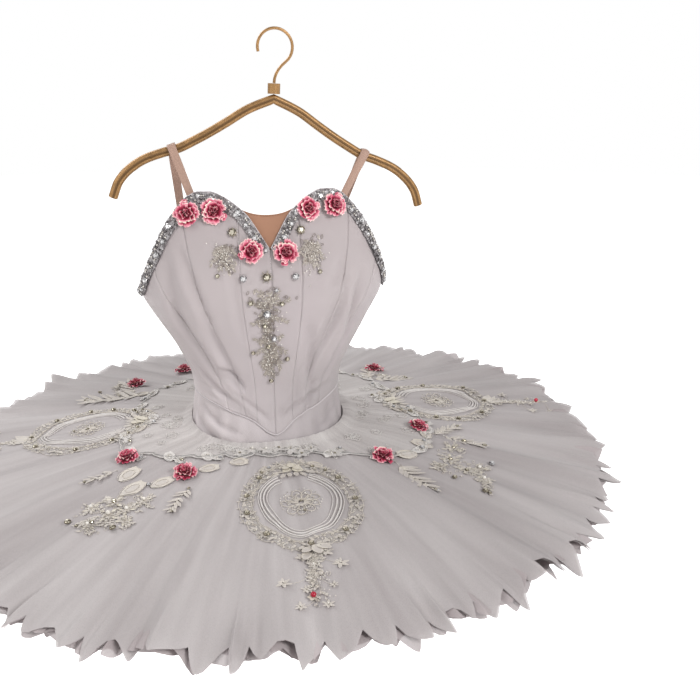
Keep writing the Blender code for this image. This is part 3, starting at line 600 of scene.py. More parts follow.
class Effects:
    """The effects that several finishes share, each built once as a node group."""

    @cached_property
    def weave(self) -> Tree:
        """Threads that cross at right angles: a height for bump and a shade from 0 to 1."""
        bench, given, out = new_tree("weave", "Shader", (("Place", "Vector"), ("Threads", "Float", 900.0)),
                                     (("Height", "Float"), ("Shade", "Float")))
        parts = bench.add("ShaderNodeSeparateXYZ", {0: given["Place"]}).outputs
        waves = [bench.math("SINE", bench.math("MULTIPLY", bench.math("MULTIPLY", part, given["Threads"]), math.tau))
                 for part in (parts[0], parts[1])]
        height = bench.math("MULTIPLY", *waves)
        bench.link(height, out["Height"])
        bench.link(bench.math("MULTIPLY_ADD", height, 0.5, 0.5), out["Shade"])
        return bench.tree

    @cached_property
    def mottle(self) -> Tree:
        """A soft uneven mix of two colours, as cloth takes light and dye."""
        bench, given, out = new_tree(
            "mottle", "Shader", (("Place", "Vector"), ("Scale", "Float", 20.0), ("First", "Color"),
                                 ("Second", "Color")), (("Colour", "Color"), ("Share", "Float")))
        share = bench.ease(bench.noise(given["Place"], given["Scale"], 3.0), 0.32, 0.68)
        bench.link(share, out["Share"])
        bench.link(bench.mix(share, given["First"], given["Second"]), out["Colour"])
        return bench.tree

    @cached_property
    def spokes(self) -> Tree:
        """Soft streaks that run out from the skirt's middle, as gathered net takes light."""
        bench, given, out = new_tree("spokes", "Shader", (("Place", "Vector"), ("Count", "Float", 12.0)),
                                     (("Share", "Float"),))
        flat = bench.vector("MULTIPLY", {0: given["Place"], 1: (1.0, 1.0, 0.0)})
        length, way = bench.vector("LENGTH", {0: flat}, 1), bench.vector("NORMALIZE", {0: flat})
        ring = bench.vector("SCALE", {0: way, "Scale": given["Count"]})
        rise = bench.out("ShaderNodeCombineXYZ", {2: bench.math("MULTIPLY", length, 3.5)})
        noise = bench.noise(bench.vector("ADD", {0: ring, 1: rise}), 1.0, 2.5, 0.55)
        bench.link(bench.ease(noise, 0.30, 0.70), out["Share"])
        return bench.tree


EFFECTS = Effects()


# ---------------------------------------------------------------- finishes
@dataclass(frozen=True)
class Finish:
    """A finish: its name, its colour, and how rough, how velvety and how metallic it is."""
    name: str
    colour: tuple
    roughness: float = 0.8
    sheen: float = 0.0
    metallic: float = 0.0

    @cached_property
    def material(self) -> bpy.types.Material:
        """The material, made the first time it is asked for."""
        made = bpy.data.materials.new(self.name)
        made.use_nodes = True
        shader = made.node_tree.nodes["Principled BSDF"].inputs
        for key, value in (("Base Color", (*self.colour, 1.0)), ("Roughness", self.roughness),
                           ("Metallic", self.metallic), ("Sheen Weight", self.sheen)):
            shader[key].default_value = value
        bench = Bench(made.node_tree)
        for key, socket in self.paint(bench).items():
            bench.link(socket, shader[key])
        return made

    def paint(self, bench: Bench) -> dict:
        """Add this finish's own nodes and return what feeds the shader, by its inputs' names."""
        return {}

    def shade(self, share: float, tint: tuple = (1.0, 1.0, 1.0)) -> tuple:
        """Return this finish's colour made darker or lighter by a share and a tint, with its alpha."""
        return (*(min(1.0, part * share * each) for part, each in zip(self.colour, tint)), 1.0)

    @staticmethod
    def bump(bench: Bench, height: Socket, depth: float, strength: float) -> Socket:
        """Return a normal from a height that stands for depth metres."""
        return bench.out("ShaderNodeBump", {"Height": height, "Distance": depth, "Strength": strength})


@dataclass(frozen=True)
class Woven(Finish):
    """Cloth whose threads show close up, with dye and light a little uneven over it, painted shade in its creases and,
    on the bodice satin, painted light and shade low on its sides and painted shade over the cups.
    """
    threads: float = 900.0
    scale: float = 14.0
    dark: float = 0.93
    tint: tuple = (1.0, 1.0, 1.0)
    depth: float = 0.0002
    # strength of the painted shade over the cups; when set, it also turns on the painted light and shade low on the
    # sides, which hem, right and cups place
    fade: float = 0.0
    hem: tuple = (-0.36, -0.43, 0.0, 0.55)
    right: tuple = (-0.095, 0.03)
    cups: tuple = (-0.44, -0.25)

    def paint(self, bench: Bench) -> dict:
        """Add the weave, the unevenness, painted shade in the hollows of the folds, painted light low on the wearer's
        right with painted shade low on the wearer's left, and painted shade over the cups.
        """
        weave = bench.effect("weave", Place=bench.place("UV"), Threads=self.threads)
        place = bench.place()
        dye = bench.effect("mottle", Place=place, Scale=self.scale, First=self.shade(self.dark, self.tint),
                           Second=self.shade(1.0))["Colour"]
        cloth = bench.mix(bench.math("MULTIPLY", weave["Shade"], 0.10), dye, self.shade(0.80))
        at = bench.add("ShaderNodeSeparateXYZ", {0: place}).outputs
        if self.fade:
            # painted light low on the wearer's right and painted shade low on the wearer's left
            side = bench.mix(bench.ease(at[0], *self.right), self.shade(1.24), self.shade(0.56))
            cloth = bench.mix(bench.ease(at[2], *self.hem), cloth, side)
        # painted shade: the colour darkens in the hollows of the pressed creases
        trough = bench.math("MULTIPLY", bench.attribute("trough"), 0.34)
        cloth = bench.mix(trough, cloth, self.shade(0.50, (1.0, 0.97, 0.99)))
        if self.fade:
            # painted shade that grows upwards over the cups
            cloth = bench.mix(bench.ease(at[2], *self.cups, 0.0, self.fade), cloth,
                              self.shade(0.60, (1.0, 0.95, 0.94)))
        return {"Base Color": cloth, "Normal": self.bump(bench, weave["Height"], self.depth, 0.35)}


@dataclass(frozen=True)
class Net(Finish):
    """Stiff net: fine cells, soft spokes of light, and see-through where one sheet lies alone."""
    cover: float = 0.8
    cells: float = 700.0
    worn: float = 0.45

    def paint(self, bench: Bench) -> dict:
        """Add the spokes, the greyer left side and the see-through share of the cells."""
        place = bench.vector("ADD", {0: bench.place(), 1: tuple(-GARMENT_AT)})
        broad, fine = (bench.effect("spokes", Place=place, Count=count)["Share"] for count in (7.0, 22.0))
        cell = bench.out("ShaderNodeTexVoronoi", {"Vector": place, "Scale": self.cells}, "Distance",
                         feature="DISTANCE_TO_EDGE")
        both = bench.out("ShaderNodeMix", {0: 0.30, 2: broad, 3: fine})
        colour = bench.mix(both, self.shade(0.86, (1.0, 0.97, 0.975)), self.shade(1.08))
        at = bench.add("ShaderNodeSeparateXYZ", {0: place}).outputs
        # darker towards the wearer's left, more at the front than at the back
        worn = bench.math("MULTIPLY", bench.ease(at[0], 0.08, 0.46), bench.ease(at[1], 0.12, 0.34, self.worn, 0.1))
        colour = bench.mix(worn, colour, self.shade(0.60, (1.0, 0.96, 0.97)))
        thick = bench.math("MULTIPLY_ADD", both, 0.16, self.cover - 0.06)
        return {"Base Color": colour,
                "Alpha": bench.math("MULTIPLY_ADD", bench.ease(cell, 0.05, 0.35), -0.10, thick)}


@dataclass(frozen=True)
class Thread(Finish):
    """Embroidery thread and corded lace: fine twisted strands, with net showing inside each petal's rim."""
    twist: float = 1400.0
    ground: tuple = (0.59, 0.555, 0.53)

    def paint(self, bench: Bench) -> dict:
        """Add the strands, the unevenness and the net in the petals' hearts, whose ground on the bodice motif is a
        painted shadow.
        """
        noise = bench.noise(bench.place(), self.twist)
        dye = bench.effect("mottle", Place=bench.place(), Scale=160.0, First=self.shade(0.92, (1.0, 0.98, 0.95)),
                           Second=self.shade(1.05))["Colour"]
        strand = bench.mix(bench.math("MULTIPLY", noise, 0.30), dye, self.shade(0.72))
        heart = bench.math("MULTIPLY", bench.attribute("heart"), 0.85)
        return {"Base Color": bench.mix(heart, strand, (*self.ground, 1.0)),
                "Normal": self.bump(bench, noise, 0.0004, 0.6)}


@dataclass(frozen=True)
class Jewel(Finish):
    """Cut stones, beads and sequins: each face and each stone takes the light its own way."""
    # dark and bright: the colours of the painted dark reflection and the painted highlight
    dark: tuple = (0.08, 0.08, 0.09)
    bright: tuple = (0.95, 0.95, 0.97)

    def paint(self, bench: Bench) -> dict:
        """Add each face's painted glint: a painted reflection from dark through the stone's colour to a painted
        highlight.
        """
        glint = bench.attribute("glint")
        stone = bench.effect("mottle", Place=bench.place(), Scale=420.0, First=(*self.colour, 1.0),
                             Second=self.shade(1.25))["Colour"]
        low = bench.mix(bench.ease(glint, 0.0, 0.5), (*self.dark, 1.0), stone)
        return {"Base Color": bench.mix(bench.ease(glint, 0.5, 1.0), low, (*self.bright, 1.0))}


@dataclass(frozen=True)
class Petal(Finish):
    """Rose cloth: crimson down between the petals, pink on them and pale along their edges; the crimson and darker feet
    are partly the cloth's own colour and partly painted shade.
    """
    # deep: the darkest stop at the petals' feet, painted shade down in the rose
    deep: tuple = (0.17, 0.003, 0.018)
    crimson: tuple = (0.44, 0.022, 0.075)
    pale: tuple = (0.92, 0.50, 0.55)
    cream: tuple = (0.94, 0.80, 0.68)
    shift: float = 0.0

    def paint(self, bench: Bench) -> dict:
        """Add the colours from the heart to the edge."""
        noise = bench.noise(bench.place(), 350.0)
        reach = bench.math("ADD", bench.attribute("tint"), bench.math("MULTIPLY_ADD", noise, 0.30, self.shift - 0.15))
        stops = ((0.10, self.deep), (0.34, self.crimson), (0.56, self.colour), (0.84, self.pale), (1.0, self.cream))
        ramp = bench.add("ShaderNodeValToRGB", {0: reach})
        marks = ramp.color_ramp.elements
        while len(marks) < len(stops):
            marks.new(0.5)
        for mark, (at, colour) in zip(marks, stops):
            mark.position, mark.color = at, (*colour, 1.0)
        return {"Base Color": ramp.outputs[0], "Normal": self.bump(bench, noise, 0.0005, 0.4)}


@dataclass(frozen=True)
class Gilt(Finish):
    """Gold-lacquered bar with a darker line along its grooves, showing a little wear."""
    groove: tuple = (0.13, 0.065, 0.02)

    def paint(self, bench: Bench) -> dict:
        """Add the dark grooves, the streaks and the wear."""
        wear = bench.effect("mottle", Place=bench.place(), Scale=90.0, First=self.shade(0.75),
                            Second=self.shade(1.15))
        return {"Base Color": bench.mix(bench.attribute("groove"), wear["Colour"], (*self.groove, 1.0)),
                "Roughness": bench.math("MULTIPLY_ADD", wear["Share"], 0.18, self.roughness - 0.08),
                "Normal": self.bump(bench, wear["Share"], 0.0002, 0.3)}


# the satin carries painted shade over its cups and in its creases, and painted light and shade low on its sides
SATIN = Woven("ivory_satin_cloth", (0.605, 0.547, 0.551), 0.50, 0.12, threads=1500.0, scale=11.0, dark=0.95,
              tint=(0.99, 0.98, 1.0), fade=0.72)
PIPING = Woven("ivory_piping", (0.60, 0.55, 0.56), 0.5, 0.2, threads=1200.0)
TAN_MESH = Woven("tan_mesh", (0.390, 0.200, 0.122), 0.75, 0.1, threads=800.0, dark=0.85)
RIBBON = Woven("dusty_ribbon", (0.415, 0.262, 0.200), 0.55, 0.2, threads=700.0, dark=0.9)
KNIT = Woven("white_knit_cloth", (0.76, 0.74, 0.74), 0.85, 0.2, threads=600.0)
# the lower sheets are darker and a little pinker: their darkening is painted shade under the sheets above
NET_FINISHES = (Net("net_first", (0.540, 0.505, 0.501), 0.9, 0.1, cover=0.86),
                Net("net_second", (0.515, 0.475, 0.474), 0.9, 0.1, cover=0.90),
                Net("net_third", (0.485, 0.434, 0.435), 0.9, 0.1, cover=0.94))
YOKE_NET = Net("yoke_lace", (0.630, 0.597, 0.580), 0.85, 0.1, cover=0.84, cells=420.0)
LACE_GROUND = Net("lace_ground", (0.62, 0.585, 0.55), 0.85, 0.1, cover=0.45, cells=380.0)
WHITE_THREAD = Thread("white_thread", (0.74, 0.715, 0.695), 0.6, 0.1)
CREAM_THREAD = Thread("cream_thread", (0.69, 0.64, 0.575), 0.55, 0.1, ground=(0.56, 0.515, 0.48))
SATIN_CORD = Thread("satin_cord", (0.74, 0.705, 0.685), 0.55, 0.1)
PALE_GOLD_THREAD = Thread("pale_gold_thread", (0.74, 0.69, 0.58), 0.55, 0.1, ground=(0.68, 0.63, 0.54))
# on the bodice motif the petals' hearts and the cords are darkened with painted shadow
BEIGE_THREAD = Thread("beige_thread", (0.60, 0.54, 0.48), 0.5, 0.1, ground=(0.27, 0.235, 0.21))
SHADOWED_BEIGE_CORD = Thread("dark_beige_thread", (0.29, 0.245, 0.215), 0.5, 0.1)
GREY_THREAD = Thread("grey_thread", (0.36, 0.36, 0.35), 0.7, 0.1)
SILVER = Jewel("silver_sequins", (0.255, 0.236, 0.238), 0.36, metallic=0.2, dark=(0.13, 0.115, 0.12),
               bright=(0.50, 0.48, 0.485))
CRYSTAL = Jewel("clear_stones", (0.40, 0.39, 0.39), 0.16, metallic=0.3, bright=(0.86, 0.85, 0.85))
GOLD_STONE = Jewel("gold_stones", (0.27, 0.23, 0.165), 0.18, metallic=0.45, dark=(0.045, 0.038, 0.03),
                   bright=(0.80, 0.75, 0.62))
PEARL = Jewel("pale_beads", (0.66, 0.62, 0.56), 0.25, dark=(0.34, 0.31, 0.27), bright=(0.88, 0.85, 0.80))
RED_BEAD = Jewel("red_beads", (0.45, 0.012, 0.04), 0.25, dark=(0.30, 0.0, 0.02), bright=(0.62, 0.05, 0.09))
ROSE = Petal("rose_cloth", (0.76, 0.20, 0.29), 0.6, 0.1, shift=0.05)
DEEP_ROSE = Petal("deep_rose_cloth", (0.70, 0.13, 0.21), 0.6, 0.1)
GILT = Gilt("gilt_bar", (0.37, 0.205, 0.080), 0.38, metallic=0.42)
STEEL = Finish("hook_steel", (0.55, 0.55, 0.56), 0.3, metallic=0.9)


# ---------------------------------------------------------------- geometry node trees
GEOMETRY = (("Geometry", "Geometry"),)


class Makers:
    """The geometry node trees that repeat small shapes or follow lines, each built once."""

    @staticmethod
    def stored(bench: Bench, name: str, kind: str) -> Socket:
        """Add a named attribute of a kind and return its value."""
        node = bench.add("GeometryNodeInputNamedAttribute", {"Name": name}, data_type=kind)
        return next(socket for socket in node.outputs if socket.enabled)

    @staticmethod
    def ended(bench: Bench, made: Socket, finish: Socket, end: Socket) -> Tree:
        """Return the tree, ended in real faces of a finish."""
        real = bench.out("GeometryNodeRealizeInstances", {0: made})
        bench.link(bench.out("GeometryNodeSetMaterial", {"Geometry": real, "Material": finish}), end)
        return bench.tree

    @cached_property
    def scatter(self) -> Tree:
        """A small shape on each point, turned and sized as the point says."""
        bench, given, out = new_tree("set_shapes_on_points", "Geometry",
                                     GEOMETRY + (("Shape", "Object"), ("Finish", "Material")), GEOMETRY)
        shape = bench.out("GeometryNodeObjectInfo", {"Object": given["Shape"], "As Instance": True}, "Geometry")
        turn = bench.out("FunctionNodeEulerToRotation", {0: self.stored(bench, "turn", "FLOAT_VECTOR")})
        copies = bench.out("GeometryNodeInstanceOnPoints", {
            "Points": given["Geometry"], "Instance": shape, "Rotation": turn,
            "Scale": self.stored(bench, "size", "FLOAT_VECTOR")})
        return self.ended(bench, copies, given["Finish"], out[0])

    @cached_property
    def cord(self) -> Tree:
        """A round cord along each line, as thick as its points say."""
        bench, given, out = new_tree("cord_along_lines", "Geometry", GEOMETRY + (
            ("Radius", "Float", 0.0006), ("Sides", "Int", 6), ("Finish", "Material")), GEOMETRY)
        thick = self.stored(bench, "thick", "FLOAT")
        line = bench.out("GeometryNodeMeshToCurve", {0: given["Geometry"]})
        sized = bench.out("GeometryNodeSetCurveRadius", {"Curve": line, "Radius": thick})
        circle = bench.out("GeometryNodeCurvePrimitiveCircle", {"Resolution": given["Sides"],
                                                                "Radius": given["Radius"]})
        cord = bench.add("GeometryNodeCurveToMesh", {0: sized, 1: circle, "Fill Caps": True})
        if "Scale" in cord.inputs:
            bench.link(thick, cord.inputs["Scale"])
        soft = bench.out("GeometryNodeSetShadeSmooth", {0: cord.outputs[0]})
        return self.ended(bench, soft, given["Finish"], out[0])


MAKERS = Makers()


def run_tree(thing: Piece, tree: Tree, **values: object) -> Piece:
    """Run a node tree on a piece and turn the piece into the plain mesh that it makes.

    Args:
        thing: the piece.
        tree: the geometry node tree.
        values: its inputs by name.

    Returns:
        The piece.
    """
    modifier = thing.modifiers.new("maker", "NODES")
    modifier.node_group = tree
    for item in tree.interface.items_tree:
        if item.in_out == "INPUT" and item.name in values:
            modifier[item.identifier] = values[item.name]
    made = thing.evaluated_get(bpy.context.evaluated_depsgraph_get())
    mesh = bpy.data.meshes.new_from_object(made)
    thing.modifiers.clear()
    thing.data, mesh.name = mesh, thing.name
    return thing


def turns_of(facing: Array, ahead: Array) -> Array:
    """Return the turns that bring +Z to facing and +X as near as it can be to ahead.

    Args:
        facing: unit vectors.
        ahead: vectors that say which way each is pointed.

    Returns:
        Euler angles, one row each.
    """
    along = unit(ahead - facing * (ahead * facing).sum(-1, keepdims=True))
    aside = np.cross(facing, along)
    return np.stack([np.arctan2(aside[:, 2], facing[:, 2]), -np.arcsin(np.clip(along[:, 2], -1, 1)),
                     np.arctan2(along[:, 1], along[:, 0])], -1)


@dataclass
class Spots:
    """Places for small shapes: points, the ways they face and point, sizes and brightness."""
    rows: list = field(default_factory=list)

    def add(self, points: Array, facing: Array, ahead: Array, size: Array, glint: Array = 0.5) -> None:
        """Add places.

        Args:
            points: one row each.
            facing: which way +Z goes, one row each or one for all.
            ahead: which way +X goes, one row each or one for all.
            size: three sizes each, or one for all.
            glint: a brightness each, or one for all.
        """
        points = np.asarray(points, float).reshape(-1, 3)
        self.rows.append((points, *(np.broadcast_to(values, points.shape) for values in (facing, ahead, size)),
                          np.broadcast_to(glint, len(points))))

    def make(self, name: str, shape: Piece, finish: Finish, slot: str, replaces: Iterable[str] = (),
             own_glint: bool = True) -> None:
        """Set a shape on every place.

        Args:
            name: the piece's name.
            shape: the small shape.
            finish: what it is made of.
            slot: the record's material slot; not used.
            replaces: names of the solids that it stands for.
            own_glint: whether each place hands its brightness on, where the shape's faces have none.
        """
        points, facing, ahead, size, glint = (np.concatenate(column) for column in zip(*self.rows))
        values = {"glint": glint} if own_glint else {}
        thing = new_piece(name, points + GARMENT_AT, [], [], turn=turns_of(unit(facing), ahead), size=size, **values)
        dress(run_tree(thing, MAKERS.scatter, Shape=shape, Finish=finish.material), replaces)


@dataclass
class Lines:
    """Lines that cords follow, each with its own thickness."""
    paths: list = field(default_factory=list)

    def add(self, points: Array, closed: bool = False, thick: float = 1.0, taper: bool = False) -> None:
        """Add a line, closed or open, with its thickness against the others, even or tapered."""
        points = np.asarray(points, float)
        self.paths.append((points, closed, thick * (1 - 0.55 * np.linspace(0, 1, len(points)) * taper)))

    def make(self, name: str, radius: float, finish: Finish, slot: str, sides: int = 6) -> None:
        """Make cords along the lines.

        Args:
            name: the piece's name.
            radius: a cord's radius where its thickness is one.
            finish: what it is made of.
            slot: the record's material slot; not used.
            sides: how many sides a cord has.
        """
        edges, start = [], 0
        for path, closed, _ in self.paths:
            ring = np.arange(start, start + len(path))
            edges += np.stack([ring, np.roll(ring, -1)], -1)[:len(ring) if closed else -1].tolist()
            start += len(path)
        points, thick = (np.concatenate([path[part] for path in self.paths]) for part in (0, 2))
        thing = new_piece(name, points + GARMENT_AT, edges, [], thick=thick)
        dress(run_tree(thing, MAKERS.cord, Radius=radius, Sides=sides, Finish=finish.material))


# ---------------------------------------------------------------- small shapes
PETAL_ROWS, PETAL_COLUMNS = 6, 7


def petal_plan() -> tuple:
    """Return how far along, how far aside, how high and how open a petal is, at 6 by 7 points."""
    along = np.array([0.0, 0.14, 0.34, 0.60, 0.86, 1.0])[:, None]
    across = np.array([-1.0, -0.78, -0.56, 0.0, 0.56, 0.78, 1.0])[None, :]
    half = 0.5 * np.sin(math.pi * np.minimum(along * 0.84 + 0.12, 0.965)) ** 0.7
    heart = ((along > 0.2) & (along < 0.9) & (np.abs(across) < 0.6)).astype(float)
    rise = 0.10 + 0.10 * (1 - heart) - 0.10 * (np.abs(across) == 1.0)
    return tuple(part.ravel() for part in np.broadcast_arrays(along - 0.05 * across ** 2, half * across, rise, heart))


def rings(rows: Sequence[tuple], sides: int, twist: float = 0.0) -> Array:
    """Return points on rings given by (reach, height), every other one turned by twist sides.

    Args:
        rows: the rings.
        sides: how many points each has.
        twist: how far every other ring is turned.

    Returns:
        The points.
    """
    turn = math.tau * (np.arange(sides) + twist * (np.arange(len(rows))[:, None] % 2)) / sides
    reach, rise = (np.array(part)[:, None] for part in zip(*rows))
    return np.stack([reach * np.cos(turn), reach * np.sin(turn), rise + 0 * turn], -1).reshape(-1, 3)


class Shapes:
    """Small shapes that the node trees repeat. They are taken out when all is made."""

    def clear(self) -> None:
        """Take the shapes out of the scene."""
        for thing in vars(self).values():
            bpy.data.objects.remove(thing, do_unlink=True)

    @cached_property
    def stone(self) -> Piece:
        """A cut stone, 1 across and 0.5 high, with a flat top, eight sides and a claw ring."""
        points = rings(((0.50, 0.0), (0.50, 0.16), (0.40, 0.34), (0.22, 0.48)), 8, 0.5)
        faces, glint, chance = [], [], np.random.default_rng(3)
        for row in range(3):
            for i in range(8):
                low, after = row * 8 + i, row * 8 + (i + 1) % 8
                if row % 2:
                    faces += [(low, after, after + 8), (low, after + 8, low + 8)]
                else:
                    faces += [(low, after, low + 8), (after, after + 8, low + 8)]
                # each facet's glint is a painted reflection, dark or bright
                glint += list(chance.choice([0.05, 0.28, 0.62, 0.95], 2, p=[0.28, 0.22, 0.25, 0.25])) if row else [
                    0.30, 0.42]
        faces += [tuple(range(24, 32)), tuple(range(7, -1, -1))]
        # the flat top gets a painted highlight
        return new_piece("shape_stone", points, [], faces, False, glint=glint + [0.9, 0.2])

    @cached_property
    def sequin(self) -> Piece:
        """A cupped sequin, 1 across."""
        points = [(0, 0, 0), *rings(((0.5, 0.12),), 8), (0, 0, -0.05)]
        after = [(1 + i, 1 + (i + 1) % 8) for i in range(8)]
        return new_piece("shape_sequin", points, [], [(0, a, b) for a, b in after] + [(9, b, a) for a, b in after],
                         False)

    @cached_property
    def bead(self) -> Piece:
        """A round bead, 1 across, sitting on its place."""
        points = [(0, 0, 0.02), *rings(((0.36, 0.14), (0.5, 0.5), (0.36, 0.86)), 6), (0, 0, 1.0)]
        after = [(i, (i + 1) % 6) for i in range(6)]
        faces = [(0, 1 + b, 1 + a) for a, b in after] + (grid_faces(3, 6, True) + 1).tolist()
        return new_piece("shape_bead", points, [], faces + [(13 + a, 13 + b, 19) for a, b in after])

    @cached_property
    def petal(self) -> Piece:
        """A small embroidered petal, 1 long and 1 wide, with a corded rim and net in its heart."""
        faces = grid_faces(PETAL_ROWS, PETAL_COLUMNS)[:, ::-1].tolist()
        return new_piece("shape_petal", np.stack(petal_plan()[:3], -1), [], faces, heart=petal_plan()[3])

    @cached_property
    def carnation(self) -> Piece:
        """A cloth rose with small ruffled petals, 1 in radius, open towards +Z."""
        chance = np.random.default_rng(77)
        whorls = ((3, 0.02, 0.36, 8), (5, 0.12, 0.42, 26), (7, 0.28, 0.46, 50), (8, 0.42, 0.50, 72),
                  (7, 0.46, 0.46, 90))  # petals, start, length and lean in degrees
        along, across = np.meshgrid(np.linspace(0, 1, 5), np.linspace(-1, 1, 6), indexing="ij")
        points, faces, tint = [], [], []
        for whorl, (count, start, length, lean) in enumerate(whorls):
            for number in range(count):
                turn = math.tau * (number + 0.5 * (whorl % 2) + chance.uniform(-0.25, 0.25)) / count
                tilt = math.radians(lean + chance.uniform(-14, 14))
                phase, wide = chance.uniform(0, math.tau), chance.uniform(0.22, 0.31)
                ruffle = 0.095 * along ** 2 * np.sin(across * 4.2 + phase)
                reach = (length * chance.uniform(0.82, 1.15) * along
                         * (1 + 0.10 * along ** 4 * np.cos(across * 7 + phase)))
                span = wide * (0.30 + 0.70 * np.sin(math.pi * np.minimum(along, 0.8) / 1.6)) * across
                out = start + reach * math.sin(tilt) + ruffle * math.cos(tilt) - 0.08 * across ** 2
                rise = 0.13 + 0.09 * (4 - whorl) / 4 + reach * math.cos(tilt) - ruffle * math.sin(tilt)
                rise = rise - 0.14 * np.maximum(along - 0.6, 0) * (whorl > 1)
                faces += (grid_faces(5, 6) + len(points) * 30).tolist()
                points.append(np.stack([*turned(0, 0, turn, out, span), np.maximum(rise, 0.02)], -1).reshape(-1, 3))
                hue = chance.choice([-0.30, -0.05, 0.10, 0.30], p=[0.22, 0.30, 0.36, 0.12])
                # tint is lowest at each petal's foot and along its middle: the cloth's crimson with painted shade
                tint.append((0.02 + (0.84 + hue) * along ** 1.5 - 0.10 * (1 - np.abs(across)) * (along < 1)).ravel())
        petals = np.concatenate(points)
        petals[:, :2] /= np.hypot(petals[:, 0], petals[:, 1]).max()
        petals[:, 2] *= 0.72 / petals[:, 2].max()
        base = len(petals)
        faces += (base + grid_faces(2, 14, True)).tolist()
        faces += [list(range(base + 14, base + 28)), list(range(base + 13, base - 1, -1))]
        return new_piece("shape_carnation", np.concatenate([petals, rings(((0.62, 0.0), (0.62, 0.14)), 14)]), [],
                         faces, tint=np.concatenate([*tint, np.zeros(28)]))


SHAPES = Shapes()


# ---------------------------------------------------------------- bodice
class Side(Enum):
    """A side of the wearer, with the sign of its angles."""
    LEFT = 1
    RIGHT = -1

    @property
    def word(self) -> str:
        """The side in lower case, as the pieces' names have it."""
        return self.name.lower()


@dataclass(frozen=True)
class Panel:
    """A bodice panel between two seams, each given by its degrees at the hem, half way and the top."""
    name: str
    nearer: tuple
    farther: tuple
    columns: int
    flat: tuple

    def spread(self, part: Array, share: Array) -> tuple:
        """Return places spread over the panel.

        Args:
            part: shares of the way from the nearer seam to the farther one.
            share: shares of the way up.

        Returns:
            The places' angles and heights, and both seams' angles.
        """
        near, far = (np.radians(hem * (1 - share) * (1 - 2 * share) + middle * 4 * share * (1 - share)
                                + top * share * (2 * share - 1))
                     for hem, middle, top in (self.nearer, self.farther))
        angle = near + (far - near) * part
        return angle, TORSO.bottom(angle) + (TORSO.top(angle) - TORSO.bottom(angle)) * share, near, far

    def grid(self, side: Side, rows: int) -> tuple:
        """Return the panel's outside, with its seams turned in and its creases pressed.

        Args:
            side: which side of the wearer.
            rows: how many rows of points.

        Returns:
            A grid of points from the hem up, and how far each is pressed.
        """
        part = np.linspace(0, 1, self.columns)[None, :]
        part = part - 0.045 * np.sin(math.tau * part)
        angle, height, near, far = self.spread(part, np.linspace(0, 1, rows)[:, None])
        rate = np.linalg.norm(TORSO.tangents(angle, height)[0], axis=-1)
        to_seam = np.minimum(angle - near, far - angle) * rate
        gap = 0.00004 / rate
        angle = np.clip(angle, near + gap, far - gap) * side.value
        seam = -0.00018 * np.exp(-(to_seam / 0.0010) ** 2) + 0.00012 * np.exp(-((to_seam - 0.0035) / 0.0022) ** 2)
        pressed = press(BODICE_CREASES, angle, height)
        return TORSO.lifted(angle, height, seam + pressed)[:, ::side.value], pressed[:, ::side.value]

    @property
    def flat_area(self) -> float:
        """The panel's flat area in square metres, cut between its two seams."""
        grid = TORSO.surface(*self.spread(np.linspace(0, 1, 24)[None, :], np.linspace(0, 1, 40)[:, None])[:2])
        sides = np.cross(grid[1:, 1:] - grid[:-1, :-1], grid[:-1, 1:] - grid[1:, :-1])
        return float(np.linalg.norm(sides, axis=-1).sum() / 2)


def press(creases: Sequence[Crease], angle: Array, height: Array) -> Array:
    """Return how far the creases lift the cloth or sink it.

    Args:
        creases: the folds.
        angle: angles.
        height: heights.

    Returns:
        The lifts.
    """
    reach = 0.13  # metres round the body for each radian
    lift = np.zeros(np.broadcast(angle, height).shape)
    for crease in creases:
        start, middle, end = (np.array([math.radians(degrees) * reach, level])
                              for degrees, level in (crease.start, crease.middle, crease.end))
        line = bezier(start, 2 * middle - (start + end) / 2, end, np.linspace(0, 1, 28))
        way = unit(np.gradient(line, axis=0))
        across, upward = angle[..., None] * reach - line[:, 0], height[..., None] - line[:, 1]
        nearest = (across ** 2 + upward ** 2).argmin(-1)
        across, upward = (np.take_along_axis(off, nearest[..., None], -1)[..., 0] for off in (across, upward))
        signed = across * way[nearest, 1] - upward * way[nearest, 0]
        past = across * way[nearest, 0] + upward * way[nearest, 1]
        taper = np.sin(math.pi * np.clip(nearest / 27, 0.0, 1.0)) ** 0.7 * np.exp(-(past / crease.width) ** 2)
        fold = np.exp(-(signed / crease.width) ** 2)
        fold = fold - crease.lip * np.exp(-((signed - 2.0 * crease.width) / (1.3 * crease.width)) ** 2)
        lift += 1.35 * crease.rise * taper * fold
    return lift


